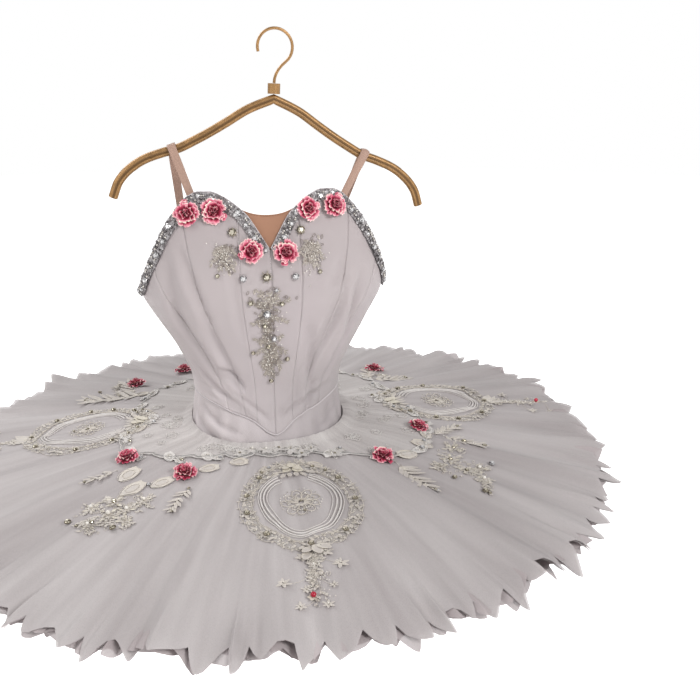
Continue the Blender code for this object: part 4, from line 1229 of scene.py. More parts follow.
PANELS = (
    Panel("centre_front", (0, 0, 0), (11.5, 11.0, 10.5), 14, (0.036, 0.31)),
    Panel("side_front", (11.5, 11.0, 10.5), (20, 29, 36), 20, (0.080, 0.31)),
    Panel("princess", (20, 29, 36), (34, 46, 56), 20, (0.070, 0.31)),
    Panel("side", (34, 46, 56), (88, 88, 88), 26, (0.110, 0.22)),
    Panel("back", (88, 88, 88), (180, 180, 180), 46, (0.210, 0.14)))
BODICE_CREASES = tuple(Crease(*row) for row in (
    ((-38, 0.300), (-32, 0.254), (-28, 0.200), 0.0056, -0.0038, 0.55),
    ((-29, 0.225), (-28.5, 0.170), (-21, 0.130), 0.0072, -0.0028, 0.6),
    ((-14, 0.272), (-13, 0.238), (-14, 0.180), 0.0040, -0.0018, 0.4),
    ((-46, 0.290), (-45, 0.235), (-50, 0.165), 0.0090, -0.0024, 0.4),
    ((15.9, 0.200), (22, 0.150), (23, 0.095), 0.0065, -0.0026, 0.5),
    ((41, 0.268), (42, 0.225), (41, 0.180), 0.0060, -0.0026, 0.6),
    ((-66, 0.118), (-34, 0.104), (-8, 0.080), 0.0042, -0.0022, -0.7),
    ((-30, 0.112), (-14, 0.094), (-3, 0.074), 0.0034, -0.0018, 0.6),
    ((50, 0.112), (24, 0.098), (6, 0.078), 0.0040, -0.0020, 0.7),
    ((24, 0.108), (12, 0.092), (3, 0.074), 0.0034, -0.0016, -0.6),
    ((-35, 0.143), (-25, 0.135), (-19, 0.114), 0.0042, -0.0042, -0.7),
    ((-47, 0.235), (-44, 0.180), (-36, 0.120), 0.0080, -0.0025, 0.3),
    ((-58, 0.150), (-46, 0.120), (-31, 0.103), 0.0050, -0.0026, 0.6),
    ((31, 0.262), (31, 0.194), (20, 0.130), 0.0048, -0.0044, -0.6),
    ((38, 0.250), (41, 0.215), (47, 0.160), 0.0060, -0.0028, 0.5),
    ((35, 0.292), (30, 0.262), (26, 0.240), 0.0085, -0.0026, 0.2),
    ((28, 0.122), (26, 0.100), (21, 0.070), 0.0060, -0.0026, 0.5),
    ((47, 0.215), (46, 0.160), (36, 0.108), 0.0070, -0.0026, 0.4),
    ((16, 0.215), (15.5, 0.150), (14, 0.090), 0.0060, -0.0014, 0.3),
    ((66, 0.215), (70, 0.165), (64, 0.112), 0.0080, -0.0024, 0.4),
    ((-66, 0.220), (-72, 0.160), (-67, 0.112), 0.0080, -0.0024, -0.4),
    ((84, 0.190), (100, 0.145), (96, 0.104), 0.0070, -0.0020, 0.4),
    ((-90, 0.185), (-104, 0.150), (-97, 0.106), 0.0070, -0.0022, 0.4),
    ((118, 0.205), (126, 0.160), (121, 0.104), 0.0085, -0.0024, 0.4),
    ((-120, 0.205), (-127, 0.155), (-118, 0.104), 0.0085, -0.0024, -0.4),
    ((146, 0.190), (150, 0.150), (143, 0.110), 0.0065, -0.0020, 0.5),
    ((-148, 0.190), (-152, 0.145), (-146, 0.106), 0.0065, -0.0020, 0.5),
    ((165, 0.150), (160, 0.135), (150, 0.128), 0.0050, -0.0020, 0.5),
    ((-166, 0.150), (-158, 0.138), (-150, 0.126), 0.0050, -0.0018, 0.5)))
BASQUE_CREASES = (Crease((-66, 0.084), (-42, 0.066), (-21, 0.060), 0.0045, -0.0022, 0.7),
                  Crease((-80, 0.070), (-58, 0.052), (-38, 0.046), 0.0045, -0.0018, 0.7),
                  Crease((64, 0.082), (44, 0.062), (26, 0.056), 0.0045, -0.0018, -0.7))


@dataclass
class Bodice:
    """The boned satin bodice with its piping, its neckline insert and its hooks at the back."""
    rows: int = 84
    insert_half_angle: float = 11.0
    insert_height: float = 0.333
    placket_half_angle: float = 0.055
    hooks: int = 9

    def build(self) -> None:
        """Make every piece of the bodice."""
        for side in Side:
            for panel in PANELS:
                points, pressed = panel.grid(side, self.rows)
                # each point stores how deep its crease is, which the satin paints as shade
                cloth = cloth_grid(f"satin_{panel.name}_{side.word}", points, SATIN, thickness=WALL * 0.9,
                                   trough=np.clip(-pressed / 0.0055, 0, 1).ravel())
                dress(cloth, (f"bodice_{panel.name}_{side.word}",))
                panel.flat_area
        self.build_piping()
        self.build_insert()
        self.build_closure()

    def build_piping(self) -> None:
        """Make the covered cord along the hem and the fine one along the top edge."""
        for name, radius, edge, lift, drop, spans in (
                ("hem_piping", 0.0010, TORSO.bottom, -0.0002, 0.0004, ((-179.6, 179.6),)),
                ("top_piping", 0.0011, TORSO.top, -0.0006, -0.0006, ((0.25, 179.7), (-179.7, -0.25)))):
            cord = Lines()
            for start, end in spans:
                angle = np.radians(np.linspace(start, end, 420))
                height = edge(angle) - drop
                cord.add(TORSO.lifted(angle, height, lift + press(BODICE_CREASES, angle, height)))
            cord.make(name, radius, PIPING, "ivory_satin", 8)

    def build_insert(self) -> None:
        """Make the skin-coloured net that fills the point of the neckline."""
        across, share = np.linspace(-1, 1, 45)[None, :], np.linspace(0, 1, 18)[:, None]
        angle = np.radians(across * self.insert_half_angle) + 0 * share
        low, high = TORSO.top(angle) - 0.008, self.insert_height + 0.010 * across ** 2
        grid = TORSO.lifted(angle, low + (high - low) * share, -0.0026)
        mesh = cloth_grid("tan_insert", grid, TAN_MESH, thickness=0.0008)
        dress(mesh, ("neckline_insert",))
        rim = Lines()
        rim.add(grid[-1] + np.array([0.0, -0.0002, 0.0]))
        rim.make("tan_insert_edge", 0.0007, TAN_MESH, "nude_mesh")

    def build_closure(self) -> None:
        """Make the placket at the centre back with its hooks and bars."""
        share, part = np.linspace(0, 1, 60)[:, None], np.linspace(-1, 1, 9)[None, :]
        low, high = TORSO.bottom(math.pi) + 0.002, TORSO.top(math.pi) - 0.003
        angle = math.pi - np.abs(part) * self.placket_half_angle
        grid = TORSO.lifted(angle + 0 * share, low + (high - low) * share + 0 * part,
                            0.0008 + 0.0005 * (1 - part ** 2) + 0 * share)
        grid[..., 0] = np.abs(grid[..., 0]) * np.sign(-part + 1e-9)
        dress(cloth_grid("back_placket", grid, SATIN))
        hooks, turn = Lines(), turns(14)
        for level in np.linspace(low + 0.008, high - 0.006, self.hooks):
            seat = TORSO.lifted(math.pi - 1e-3, level, 0.0021)[1]
            for aside in (-0.0042, 0.0042):
                hooks.add(np.stack([aside + 0.0019 * np.cos(turn), np.full(14, seat),
                                    level + 0.0013 * np.sin(turn)], -1), closed=True)
            hooks.add(np.array([[x, seat + 0.0006, level] for x in (-0.004, 0.004)]), thick=1.2)
        hooks.make("back_hooks", 0.00035, STEEL, "silver_trim")


@dataclass
class EdgeTrim:
    """The band of sequins and stones along the top edge."""
    width: float = 0.0120
    end_degrees: float = 80.0
    lift: float = 0.0009
    sequin: float = 0.0034
    bead: float = 0.0022

    def stations(self, count: int) -> tuple:
        """Return places spread evenly along the left edge.

        Args:
            count: how many places.

        Returns:
            Angles, heights, unit vectors along the edge and down the cloth, and the edge's length.
        """
        fine = np.radians(np.linspace(0.4, self.end_degrees, 500))
        length = running(steps_of(TORSO.surface(fine, TORSO.top(fine))))
        angle = np.interp(np.linspace(0, length[-1], count), length, fine)
        along = unit(TORSO.surface(angle + 0.004, TORSO.top(angle + 0.004)) - TORSO.surface(angle, TORSO.top(angle)))
        height = TORSO.top(angle)
        down = unit(np.cross(along, np.cross(*TORSO.tangents(angle, height))))
        return angle, height, along, down, length[-1]

    @staticmethod
    def place(side: Side, station: tuple, drop: Array, lift: Array) -> tuple:
        """Return points of the band.

        Args:
            side: which side of the wearer.
            station: what stations gave.
            drop: how far down each point is.
            lift: how far out each point is.

        Returns:
            The points and the unit normals.
        """
        angle, height, _, down, _ = station
        around, upward = TORSO.tangents(angle, height)
        move = down * np.asarray(drop)[..., None]
        angle = angle + (move * around).sum(-1) / (around ** 2).sum(-1)
        height = height + (move * upward).sum(-1) / (upward ** 2).sum(-1)
        angle = np.maximum(angle, 0.0015) * side.value
        normal = TORSO.normal(angle, height)
        return TORSO.surface(angle, height) + normal * lift, normal

    def build(self) -> None:
        """Make the band, its sequins and its stones on both sides."""
        for side in Side:
            self.build_side(side)

    def build_side(self, side: Side) -> None:
        """Make one side.

        Args:
            side: which side of the wearer.
        """
        station = self.stations(130)
        rows = [self.place(side, station, self.width * share, self.lift + 0.0006 * math.sin(math.pi * share))[0]
                for share in np.linspace(1, 0, 6)]
        band = cloth_grid(f"sequin_band_{side.word}", np.array(rows)[:, ::side.value], SILVER, thickness=0.0006)
        dress(band, (f"edge_trim_{side.word}",))
        chance, length = np.random.default_rng(12 + side.value), station[-1]
        sequins, beads, stones = Spots(), Spots(), Spots()
        count = int(length / 0.0027)
        station = self.stations(count)
        along = station[2]
        for row, share in enumerate((0.10, 0.30, 0.50, 0.70, 0.90)):
            drop = self.width * share + chance.uniform(-0.0006, 0.0006, count)
            points, normal = self.place(side, station, drop, self.lift + 0.0011)
            lean = unit(normal + chance.normal(0, 0.28, (count, 3)))
            # each sequin's and bead's glint is a painted reflection
            sequins.add(points, lean, along * side.value + 0.001, self.sequin, chance.beta(1.3, 1.5, count))
            if row % 2:
                picked = chance.random(count) < 0.30
                beads.add((points + normal * 0.0004)[picked], normal[picked], along[picked], self.bead,
                          chance.random(int(picked.sum())))
        count = int(length / 0.0165)
        number = np.arange(count)
        size = np.where(number % 2, 0.0078, 0.0060)[:, None] * np.array([1, 1, 0.7])
        drop = self.width * (0.52 + 0.12 * np.where(number % 3, 1, -1))
        points, normal = self.place(side, self.stations(count), drop, self.lift + 0.0018)
        stones.add(points, normal, chance.normal(0, 1, (count, 3)), size)
        for spots, word, shape, finish in ((sequins, "sequins", SHAPES.sequin, SILVER),
                                           (beads, "trim_beads", SHAPES.bead, PEARL),
                                           (stones, "trim_stones", SHAPES.stone, CRYSTAL)):
            spots.make(f"{word}_{side.word}", shape, finish, "silver_trim", own_glint=finish is not CRYSTAL)


# ---------------------------------------------------------------- hips
@dataclass
class Basque:
    """The satin hip band that shows under the bodice's pointed hem, eased in soft folds."""
    hem: float = 0.035
    columns: int = 220
    puff: float = 0.0035

    def build(self) -> None:
        """Make the band."""
        share = np.linspace(0, 1, 26)[:, None]
        angle = np.linspace(-math.pi, math.pi, self.columns)[None, :] * 0.9994
        top = TORSO.bottom(angle)
        height = self.hem + (top + 0.006 - self.hem) * share
        below = np.clip((top - height) / np.maximum(top - self.hem, 1e-6), 0, 1)
        swell = np.sin(math.pi * below ** 0.8) * smooth_step(top, 0.052, 0.080)
        folds = folds_round(angle + 1.6 * (height - 0.06) * np.sin(angle * 2), 46, 4)
        pressed = press(BASQUE_CREASES, angle + 0 * share, height)
        lift = -0.0022 + self.puff * swell + 0.0016 * folds * swell + pressed
        # each point stores how deep its crease or fold is, which the satin paints as shade
        band = cloth_grid("satin_basque", TORSO.lifted(angle, height, lift), SATIN, thickness=WALL * 0.9,
                          trough=np.clip(-(pressed + 0.0012 * folds * swell) / 0.0045, 0, 1).ravel())
        dress(band, ("basque",))


@dataclass
class Knickers:
    """The knickers that carry the net, front and back."""
    wall: float = 0.0012
    crotch_height: float = -0.185
    crotch_half_width: float = 0.034
    crotch_angle: float = 24.0
    leg_side: tuple = (0.112, 0.0, -0.035)
    leg_front: tuple = (0.052, -0.118, -0.155)
    leg_back: tuple = (0.048, 0.128, -0.185)
    basque_hem: float = 0.035

    def leg_edge(self, degrees: Array, front: bool) -> Array:
        """Return the lower edge: the crotch seam near the middle and the leg opening outside it.

        Args:
            degrees: degrees from the middle of the front or back.
            front: whether it is the front.

        Returns:
            The points.
        """
        facing = -1 if front else 1
        flat = np.full(degrees.shape, 1.0)
        inner = np.stack([self.crotch_half_width * degrees / self.crotch_angle, flat * facing * 0.0004,
                          flat * self.crotch_height], -1)
        share = np.clip((np.abs(degrees) - self.crotch_angle) / (90 - self.crotch_angle), 0, 1)
        corner = (self.crotch_half_width, facing * 0.0004, self.crotch_height)
        outer = bezier(corner, self.leg_front if front else self.leg_back, self.leg_side, share)
        outer[..., 0] *= np.sign(degrees)
        outer[..., 1] = facing * np.maximum(np.abs(outer[..., 1]), 0.00015)
        return np.where((np.abs(degrees) <= self.crotch_angle)[..., None], inner, outer)

    def grid(self, front: bool, rows: int, columns: int) -> Array:
        """Return the outside of the front or the back.

        Args:
            front: whether it is the front.
            rows: rows of points from the leg up.
            columns: columns of points.

        Returns:
            The grid.
        """
        degrees = np.linspace(-90, 90, columns)
        angle = wrapped(np.radians(degrees if front else 180 - degrees))
        hip = TORSO.lifted(angle, np.full(columns, self.basque_hem - 0.0003), -0.0025)
        edge = self.leg_edge(degrees, front)
        hip[0, 1], hip[-1, 1] = edge[0, 1], edge[-1, 1]
        pull = np.stack([(hip[:, 0] + edge[:, 0]) / 2, hip[:, 1] * 1.08, edge[:, 2] * 0.8], -1)
        share = np.broadcast_to(np.linspace(1, 0, rows)[:, None], (rows, columns))
        grid = bezier(hip[None], pull[None], edge[None], share)
        return grid if front else grid[:, ::-1]

    def build(self) -> None:
        """Make the front and the back."""
        for word in ("front", "back"):
            cloth = cloth_grid(f"knit_{word}", self.grid(word == "front", 40, 80), KNIT, thickness=self.wall)
            dress(cloth, (f"knickers_{word}",))


# ---------------------------------------------------------------- skirt
@dataclass
class NetSkirt:
    """The stiff net plate: sheets gathered at the hip, folded and cut to points at the edge."""
    steps: int = 10
    inner_rows: int = 15
    rim_rows: int = 11
    rim_from: float = 0.78

    @staticmethod
    def seam_radius(sheet: NetSheet, angle: Array) -> Array:
        """Return how far out a sheet is sewn."""
        seat = TORSO.lifted(wrapped(angle), np.full(angle.shape, max(sheet.seam_height, 0.030)), -0.0004)
        return np.hypot(seat[..., 0], seat[..., 1])

    def columns(self, sheet: NetSheet) -> Array:
        """Return the angles of a sheet's columns, with one at each tip and each notch.

        Args:
            sheet: the sheet.

        Returns:
            The angles, in rising order.
        """
        half = self.steps // 2
        starts, leans = sheet.teeth["starts"], sheet.teeth["lean"]
        far = np.linspace(0, 1, half, endpoint=False) ** 1.5
        near = 1 - np.linspace(1, 0, half, endpoint=False) ** 1.5
        return math.tau * np.concatenate([
            start + width * np.concatenate([lean * near, lean + (1 - lean) * far])
            for start, width, lean in zip(starts, np.diff(starts), leans)])

    def build(self) -> None:
        """Make every sheet."""
        share = np.concatenate([np.linspace(0, self.rim_from, self.inner_rows, endpoint=False),
                                np.linspace(self.rim_from, 1.0, self.rim_rows)])[::-1]
        for index, sheet in enumerate(NET_SHEETS):
            angle = self.columns(sheet)
            seam = self.seam_radius(sheet, angle)
            radius = seam + (sheet.edge_radius(*sheet.tooth_at(angle + 1e-9)) - seam) * share[:, None]
            across = np.broadcast_to(angle, radius.shape)
            cloth = cloth_grid(f"net_sheet_{index + 1}", polar(radius, across, sheet.height(radius, across)),
                               NET_FINISHES[min(index, 2)], wrap=True)
            dress(cloth, (sheet.name[:-2],) if sheet.name.endswith("_a") else ())


YOKE_REACH = SmoothColumn((
    (-180, 0.202), (-132, 0.204), (-112, 0.190), (-96, 0.158), (-84, 0.192), (-74, 0.206), (-60, 0.184),
    (-41, 0.154), (-30, 0.141), (-20, 0.138), (-12, 0.132), (0, 0.136), (14, 0.140), (22, 0.150), (29, 0.164),
    (38, 0.190), (46, 0.212), (56, 0.222), (70, 0.214), (84, 0.194), (96, 0.158), (112, 0.190), (132, 0.204),
    (180, 0.202)))


def yoke_edge(angle: Array) -> Array:
    """Return how far out the scalloped yoke reaches at angles from -pi to pi."""
    return YOKE_REACH(np.degrees(angle)) + OVERLAY_SCALLOP * np.abs(np.sin(OVERLAY_LOBES * angle / 2))


def seat_on_net(radius: Array, angle: Array, lift: float = 0.0) -> Array:
    """Return the height just above the net, and above the yoke where that lies on it, by lift more."""
    off = smooth_step(radius - yoke_edge(wrapped(angle)), 0.001, 0.010)
    return TOP_SHEET.height(radius, angle) + 0.0010 + 0.0012 * (1 - off) + lift


@dataclass
class Yoke:
    """The scalloped lace that covers the gathers over the hip."""
    rows: int = 24
    columns: int = 768

    def build(self) -> None:
        """Make the lace."""
        angle = turns(self.columns)
        seam = NetSkirt.seam_radius(TOP_SHEET, angle) + 0.0006
        radius = seam + (yoke_edge(wrapped(angle)) - seam) * np.linspace(1, 0, self.rows)[:, None]
        across = np.broadcast_to(angle, radius.shape)
        ease = folds_round(across, 110, 31) * 0.0004 * (1 - smooth_step(radius, 0.13, 0.2))
        climb = 0.006 * (1 - smooth_step(radius, 0.108, 0.128)) ** 2
        height = TOP_SHEET.height(radius, across) + 0.0012 + ease + climb
        lace = cloth_grid("hip_yoke", polar(radius, across, height), YOKE_NET, wrap=True)
        dress(lace, ("hip_overlay",))


# ---------------------------------------------------------------- lace
class Sewn(Enum):
    """What is sewn on the lace: the small shape's name and its finish."""
    STONE = ("stone", CRYSTAL)
    GOLD = ("stone", GOLD_STONE)
    BEAD = ("bead", PEARL)
    RED = ("bead", RED_BEAD)


STONE, GOLD, BEAD, RED = Sewn


def skirt_bed(degrees: float) -> Callable:
    """Return the bed of a lace piece on the skirt, whose y is the radius along a spoke.

    Args:
        degrees: the spoke's angle from the front.

    Returns:
        A function of x, y and lift that gives points.
    """
    c, s = math.cos(math.radians(degrees)), math.sin(math.radians(degrees))

    def at(x: Array, y: Array, lift: float = 0.0) -> Array:
        """Return points of the bed."""
        across, back = y * s + x * c, x * s - y * c
        return np.stack([across, back, seat_on_net(np.hypot(across, back), np.arctan2(across, -back), lift)], -1)
    return at


def bodice_bed(degrees: float, level: float) -> Callable:
    """Return the bed of a lace piece on the bodice, whose y is up and x is to the wearer's left.

    Args:
        degrees: the angle of its middle.
        level: the height of its middle.

    Returns:
        A function of x, y and lift that gives points.
    """
    middle = math.radians(degrees)
    rate = float(np.linalg.norm(TORSO.tangents(abs(middle) + 0.12, level)[0]))

    def at(x: Array, y: Array, lift: float = 0.0) -> Array:
        """Return points of the bed."""
        angle, height = middle + x / rate, level + y + 0 * x
        return TORSO.lifted(angle, height, 0.0009 + lift + press(BODICE_CREASES, angle, height))
    return at


class Lace:
    """A piece of corded lace: cords, petals, stones and beads laid on a bed."""

    def __init__(self, bed: Callable, seed: int) -> None:
        """Start an empty piece on a bed, with the number that sets its unevenness."""
        self.bed, self.chance = bed, np.random.default_rng(seed)
        self.cords, self.heavy, self.petals, self.tinted = Lines(), Lines(), Spots(), Spots()
        self.leaves: list = []
        self.jewels = {kind: Spots() for kind in Sewn}

    def ways(self, x: Array, y: Array, way: Array) -> tuple:
        """Return points on the bed.

        Args:
            x: how far aside.
            y: how far along.
            way: angles from +x towards +y.

        Returns:
            The points, the unit vectors out of the bed and the unit vectors that way along it.
        """
        x, y, way = (part.ravel() for part in np.broadcast_arrays(*(np.asarray(p, float) for p in (x, y, way))))
        seat = self.bed(x, y)
        ahead = self.bed(x + np.cos(way) * 4e-4, y + np.sin(way) * 4e-4) - seat
        return seat, unit(self.bed(x, y, 1e-3) - seat), unit(ahead)

    def stroke(self, x: Array, y: Array, closed: bool = False, thick: float = 1.0, heavy: bool = False,
               taper: bool = False, lift: float = 0.0002) -> None:
        """Lay a cord along points given by x and y."""
        (self.heavy if heavy else self.cords).add(self.bed(np.asarray(x), np.asarray(y), lift), closed, thick, taper)

    def petal(self, x: Array, y: Array, way: Array, length: float, width: float, lift: float = 0.0,
              tinted: bool = False) -> None:
        """Lay petals.

        Args:
            x: how far aside they start.
            y: how far along they start.
            way: the angles that they point along.
            length: their length.
            width: their width.
            lift: how far above the bed.
            tinted: whether they are pale gold.
        """
        seat, out, ahead = self.ways(x, y, way)
        tilt = unit(out - 0.04 * ahead + self.chance.normal(0, 0.05, out.shape))
        size = np.array([length, width, width * 0.25]) * self.chance.uniform(0.86, 1.12, (len(seat), 1))
        (self.tinted if tinted else self.petals).add(seat + out * lift, tilt, ahead, size,
                                                     self.chance.random(len(seat)))

    def oval(self, x: float, y: float, way: float, length: float, width: float) -> None:
        """Lay a large leaf that follows the bed, with two corded outlines.

        Args:
            x: how far aside it starts.
            y: how far along it starts.
            way: the angle that it points along.
            length: its length.
            width: its width.
        """
        ahead, aside, rise, _ = petal_plan()
        self.leaves.append(self.bed(*turned(x, y, way, ahead * length, aside * width),
                                    0.0004 + 0.06 * width * rise))
        spin = turns(24)
        for scale, lift in ((1.0, 0.0006), (0.56, 0.0009)):
            along, aside = length * (0.5 + 0.5 * scale * np.cos(spin)), width * 0.5 * scale * np.sin(spin)
            self.stroke(*turned(x, y, way, along, aside), closed=True, thick=0.9, lift=lift)

    def jewel(self, kind: Sewn, x: Array, y: Array, size: float, lift: float = 0.0003) -> None:
        """Set stones or beads of a kind at x and y, a little above the bed."""
        seat, out, ahead = self.ways(x, y, 0.0)
        self.jewels[kind].add(seat + out * lift, unit(out + self.chance.normal(0, 0.12, out.shape)), ahead,
                              np.array([size, size, size * 0.85]), self.chance.random(len(seat)))

    def blossom(self, x: float, y: float, reach: float, count: int = 5, kind: Sewn = GOLD, size: float = 0.004,
                turn: float = 0.0) -> None:
        """Lay a blossom.

        Args:
            x: how far aside it is.
            y: how far along it is.
            reach: how long its petals are.
            count: how many it has.
            kind: what is sewn at its heart.
            size: how large that is, or 0 for nothing.
            turn: which way its first petal points.
        """
        way = turn + math.tau * (np.arange(count) + self.chance.uniform(-0.12, 0.12, count)) / count
        near = reach * 0.16
        self.petal(x + near * np.cos(way), y + near * np.sin(way), way, reach, reach * 1.9 / count * 1.5, 0.0003)
        if size:
            self.jewel(kind, x, y, size, 0.0010)

    def leaf(self, x: float, y: float, way: float, length: float, pairs: int = 4, width: float = 0.0026) -> None:
        """Lay a frond: a bent stem with uneven leaflets in pairs and one at its end.

        Args:
            x: how far aside it starts.
            y: how far along it starts.
            way: the angle that it points along.
            length: its length.
            pairs: how many pairs of leaflets it has.
            width: how wide they are.
        """
        bend = self.chance.uniform(-0.09, 0.09) * length
        run = np.linspace(0, length, 8)
        self.stroke(*turned(x, y, way, run, bend * np.sin(math.pi * run / length)), thick=0.6, taper=True)
        for sign in (-1, 1):
            share = np.linspace(0.14, 0.84, pairs) + self.chance.uniform(-0.06, 0.06, pairs)
            lean = way + sign * (0.80 - 0.25 * share) + self.chance.uniform(-0.2, 0.2, pairs)
            self.petal(*turned(x, y, way, length * share, bend * np.sin(math.pi * share)), lean, length * 0.30, width)
        self.petal(*turned(x, y, way, length * 0.88, 0.0), way, length * 0.3, width)

    def fill(self, x: float, y: float, wide: float, long: float, count: int) -> None:
        """Work small loops, petals and beads over a patch.

        Args:
            x: how far aside its middle is.
            y: how far along its middle is.
            wide: how far it spreads aside.
            long: how far it spreads along.
            count: how many loops it has.
        """
        spin, chance = turns(8), self.chance
        for _ in range(count):
            u, v = x + chance.normal(0, wide * 0.55), y + chance.normal(0, long * 0.55)
            size, turn = chance.uniform(0.0010, 0.0022), chance.uniform(0, math.tau)
            self.stroke(*turned(u, v, turn, size * 1.5 * np.cos(spin), size * 0.8 * np.sin(spin)), closed=True,
                        thick=0.6)
        count = max(int(count * 0.6), 4)
        u, v = x + chance.normal(0, wide * 0.55, count), y + chance.normal(0, long * 0.55, count)
        self.petal(u, v, chance.uniform(0, math.tau, count), 0.0060, 0.0031)
        self.jewel(BEAD, u, v, 0.0014, 0.0006)

    def make(self, name: str, thread: Finish, slot: str, replaces: Iterable[str] = (), radius: float = 0.00055,
             cord: Optional[Finish] = None) -> None:
        """Make the piece's cords, petals, stones and beads.

        Args:
            name: the start of the pieces' names.
            thread: what the petals and cords are made of.
            slot: the material slot of the record, handed on but not used.
            replaces: the solids that it stands for.
            radius: how thick its cords are.
            cord: what the cords are made of, where that differs.
        """
        self.petals.make(f"{name}_petals", SHAPES.petal, thread, slot, replaces)
        if self.leaves:
            faces = np.concatenate([grid_faces(PETAL_ROWS, PETAL_COLUMNS) + PETAL_ROWS * PETAL_COLUMNS * leaf
                                    for leaf in range(len(self.leaves))])
            leaves = new_piece(f"{name}_leaves", np.concatenate(self.leaves) + GARMENT_AT, [], faces.tolist(),
                               heart=np.tile(petal_plan()[3], len(self.leaves)))
            leaves.data.materials.append(thread.material)
            dress(leaves)
        for lines, word, thick, finish, sides in ((self.cords, "cords", radius, cord or thread, 5),
                                                  (self.heavy, "satin_cords", 0.00085, SATIN_CORD, 7)):
            if lines.paths:
                lines.make(f"{name}_{word}", thick, finish, slot, sides)
        for kind, spots in self.jewels.items():
            shape, finish = kind.value
            if spots.rows:
                spots.make(f"{name}_{kind.name.lower()}s", getattr(SHAPES, shape), finish, slot,
                           own_glint=shape == "bead")
        if self.tinted.rows:
            self.tinted.make(f"{name}_gold_petals", SHAPES.petal, PALE_GOLD_THREAD, slot)


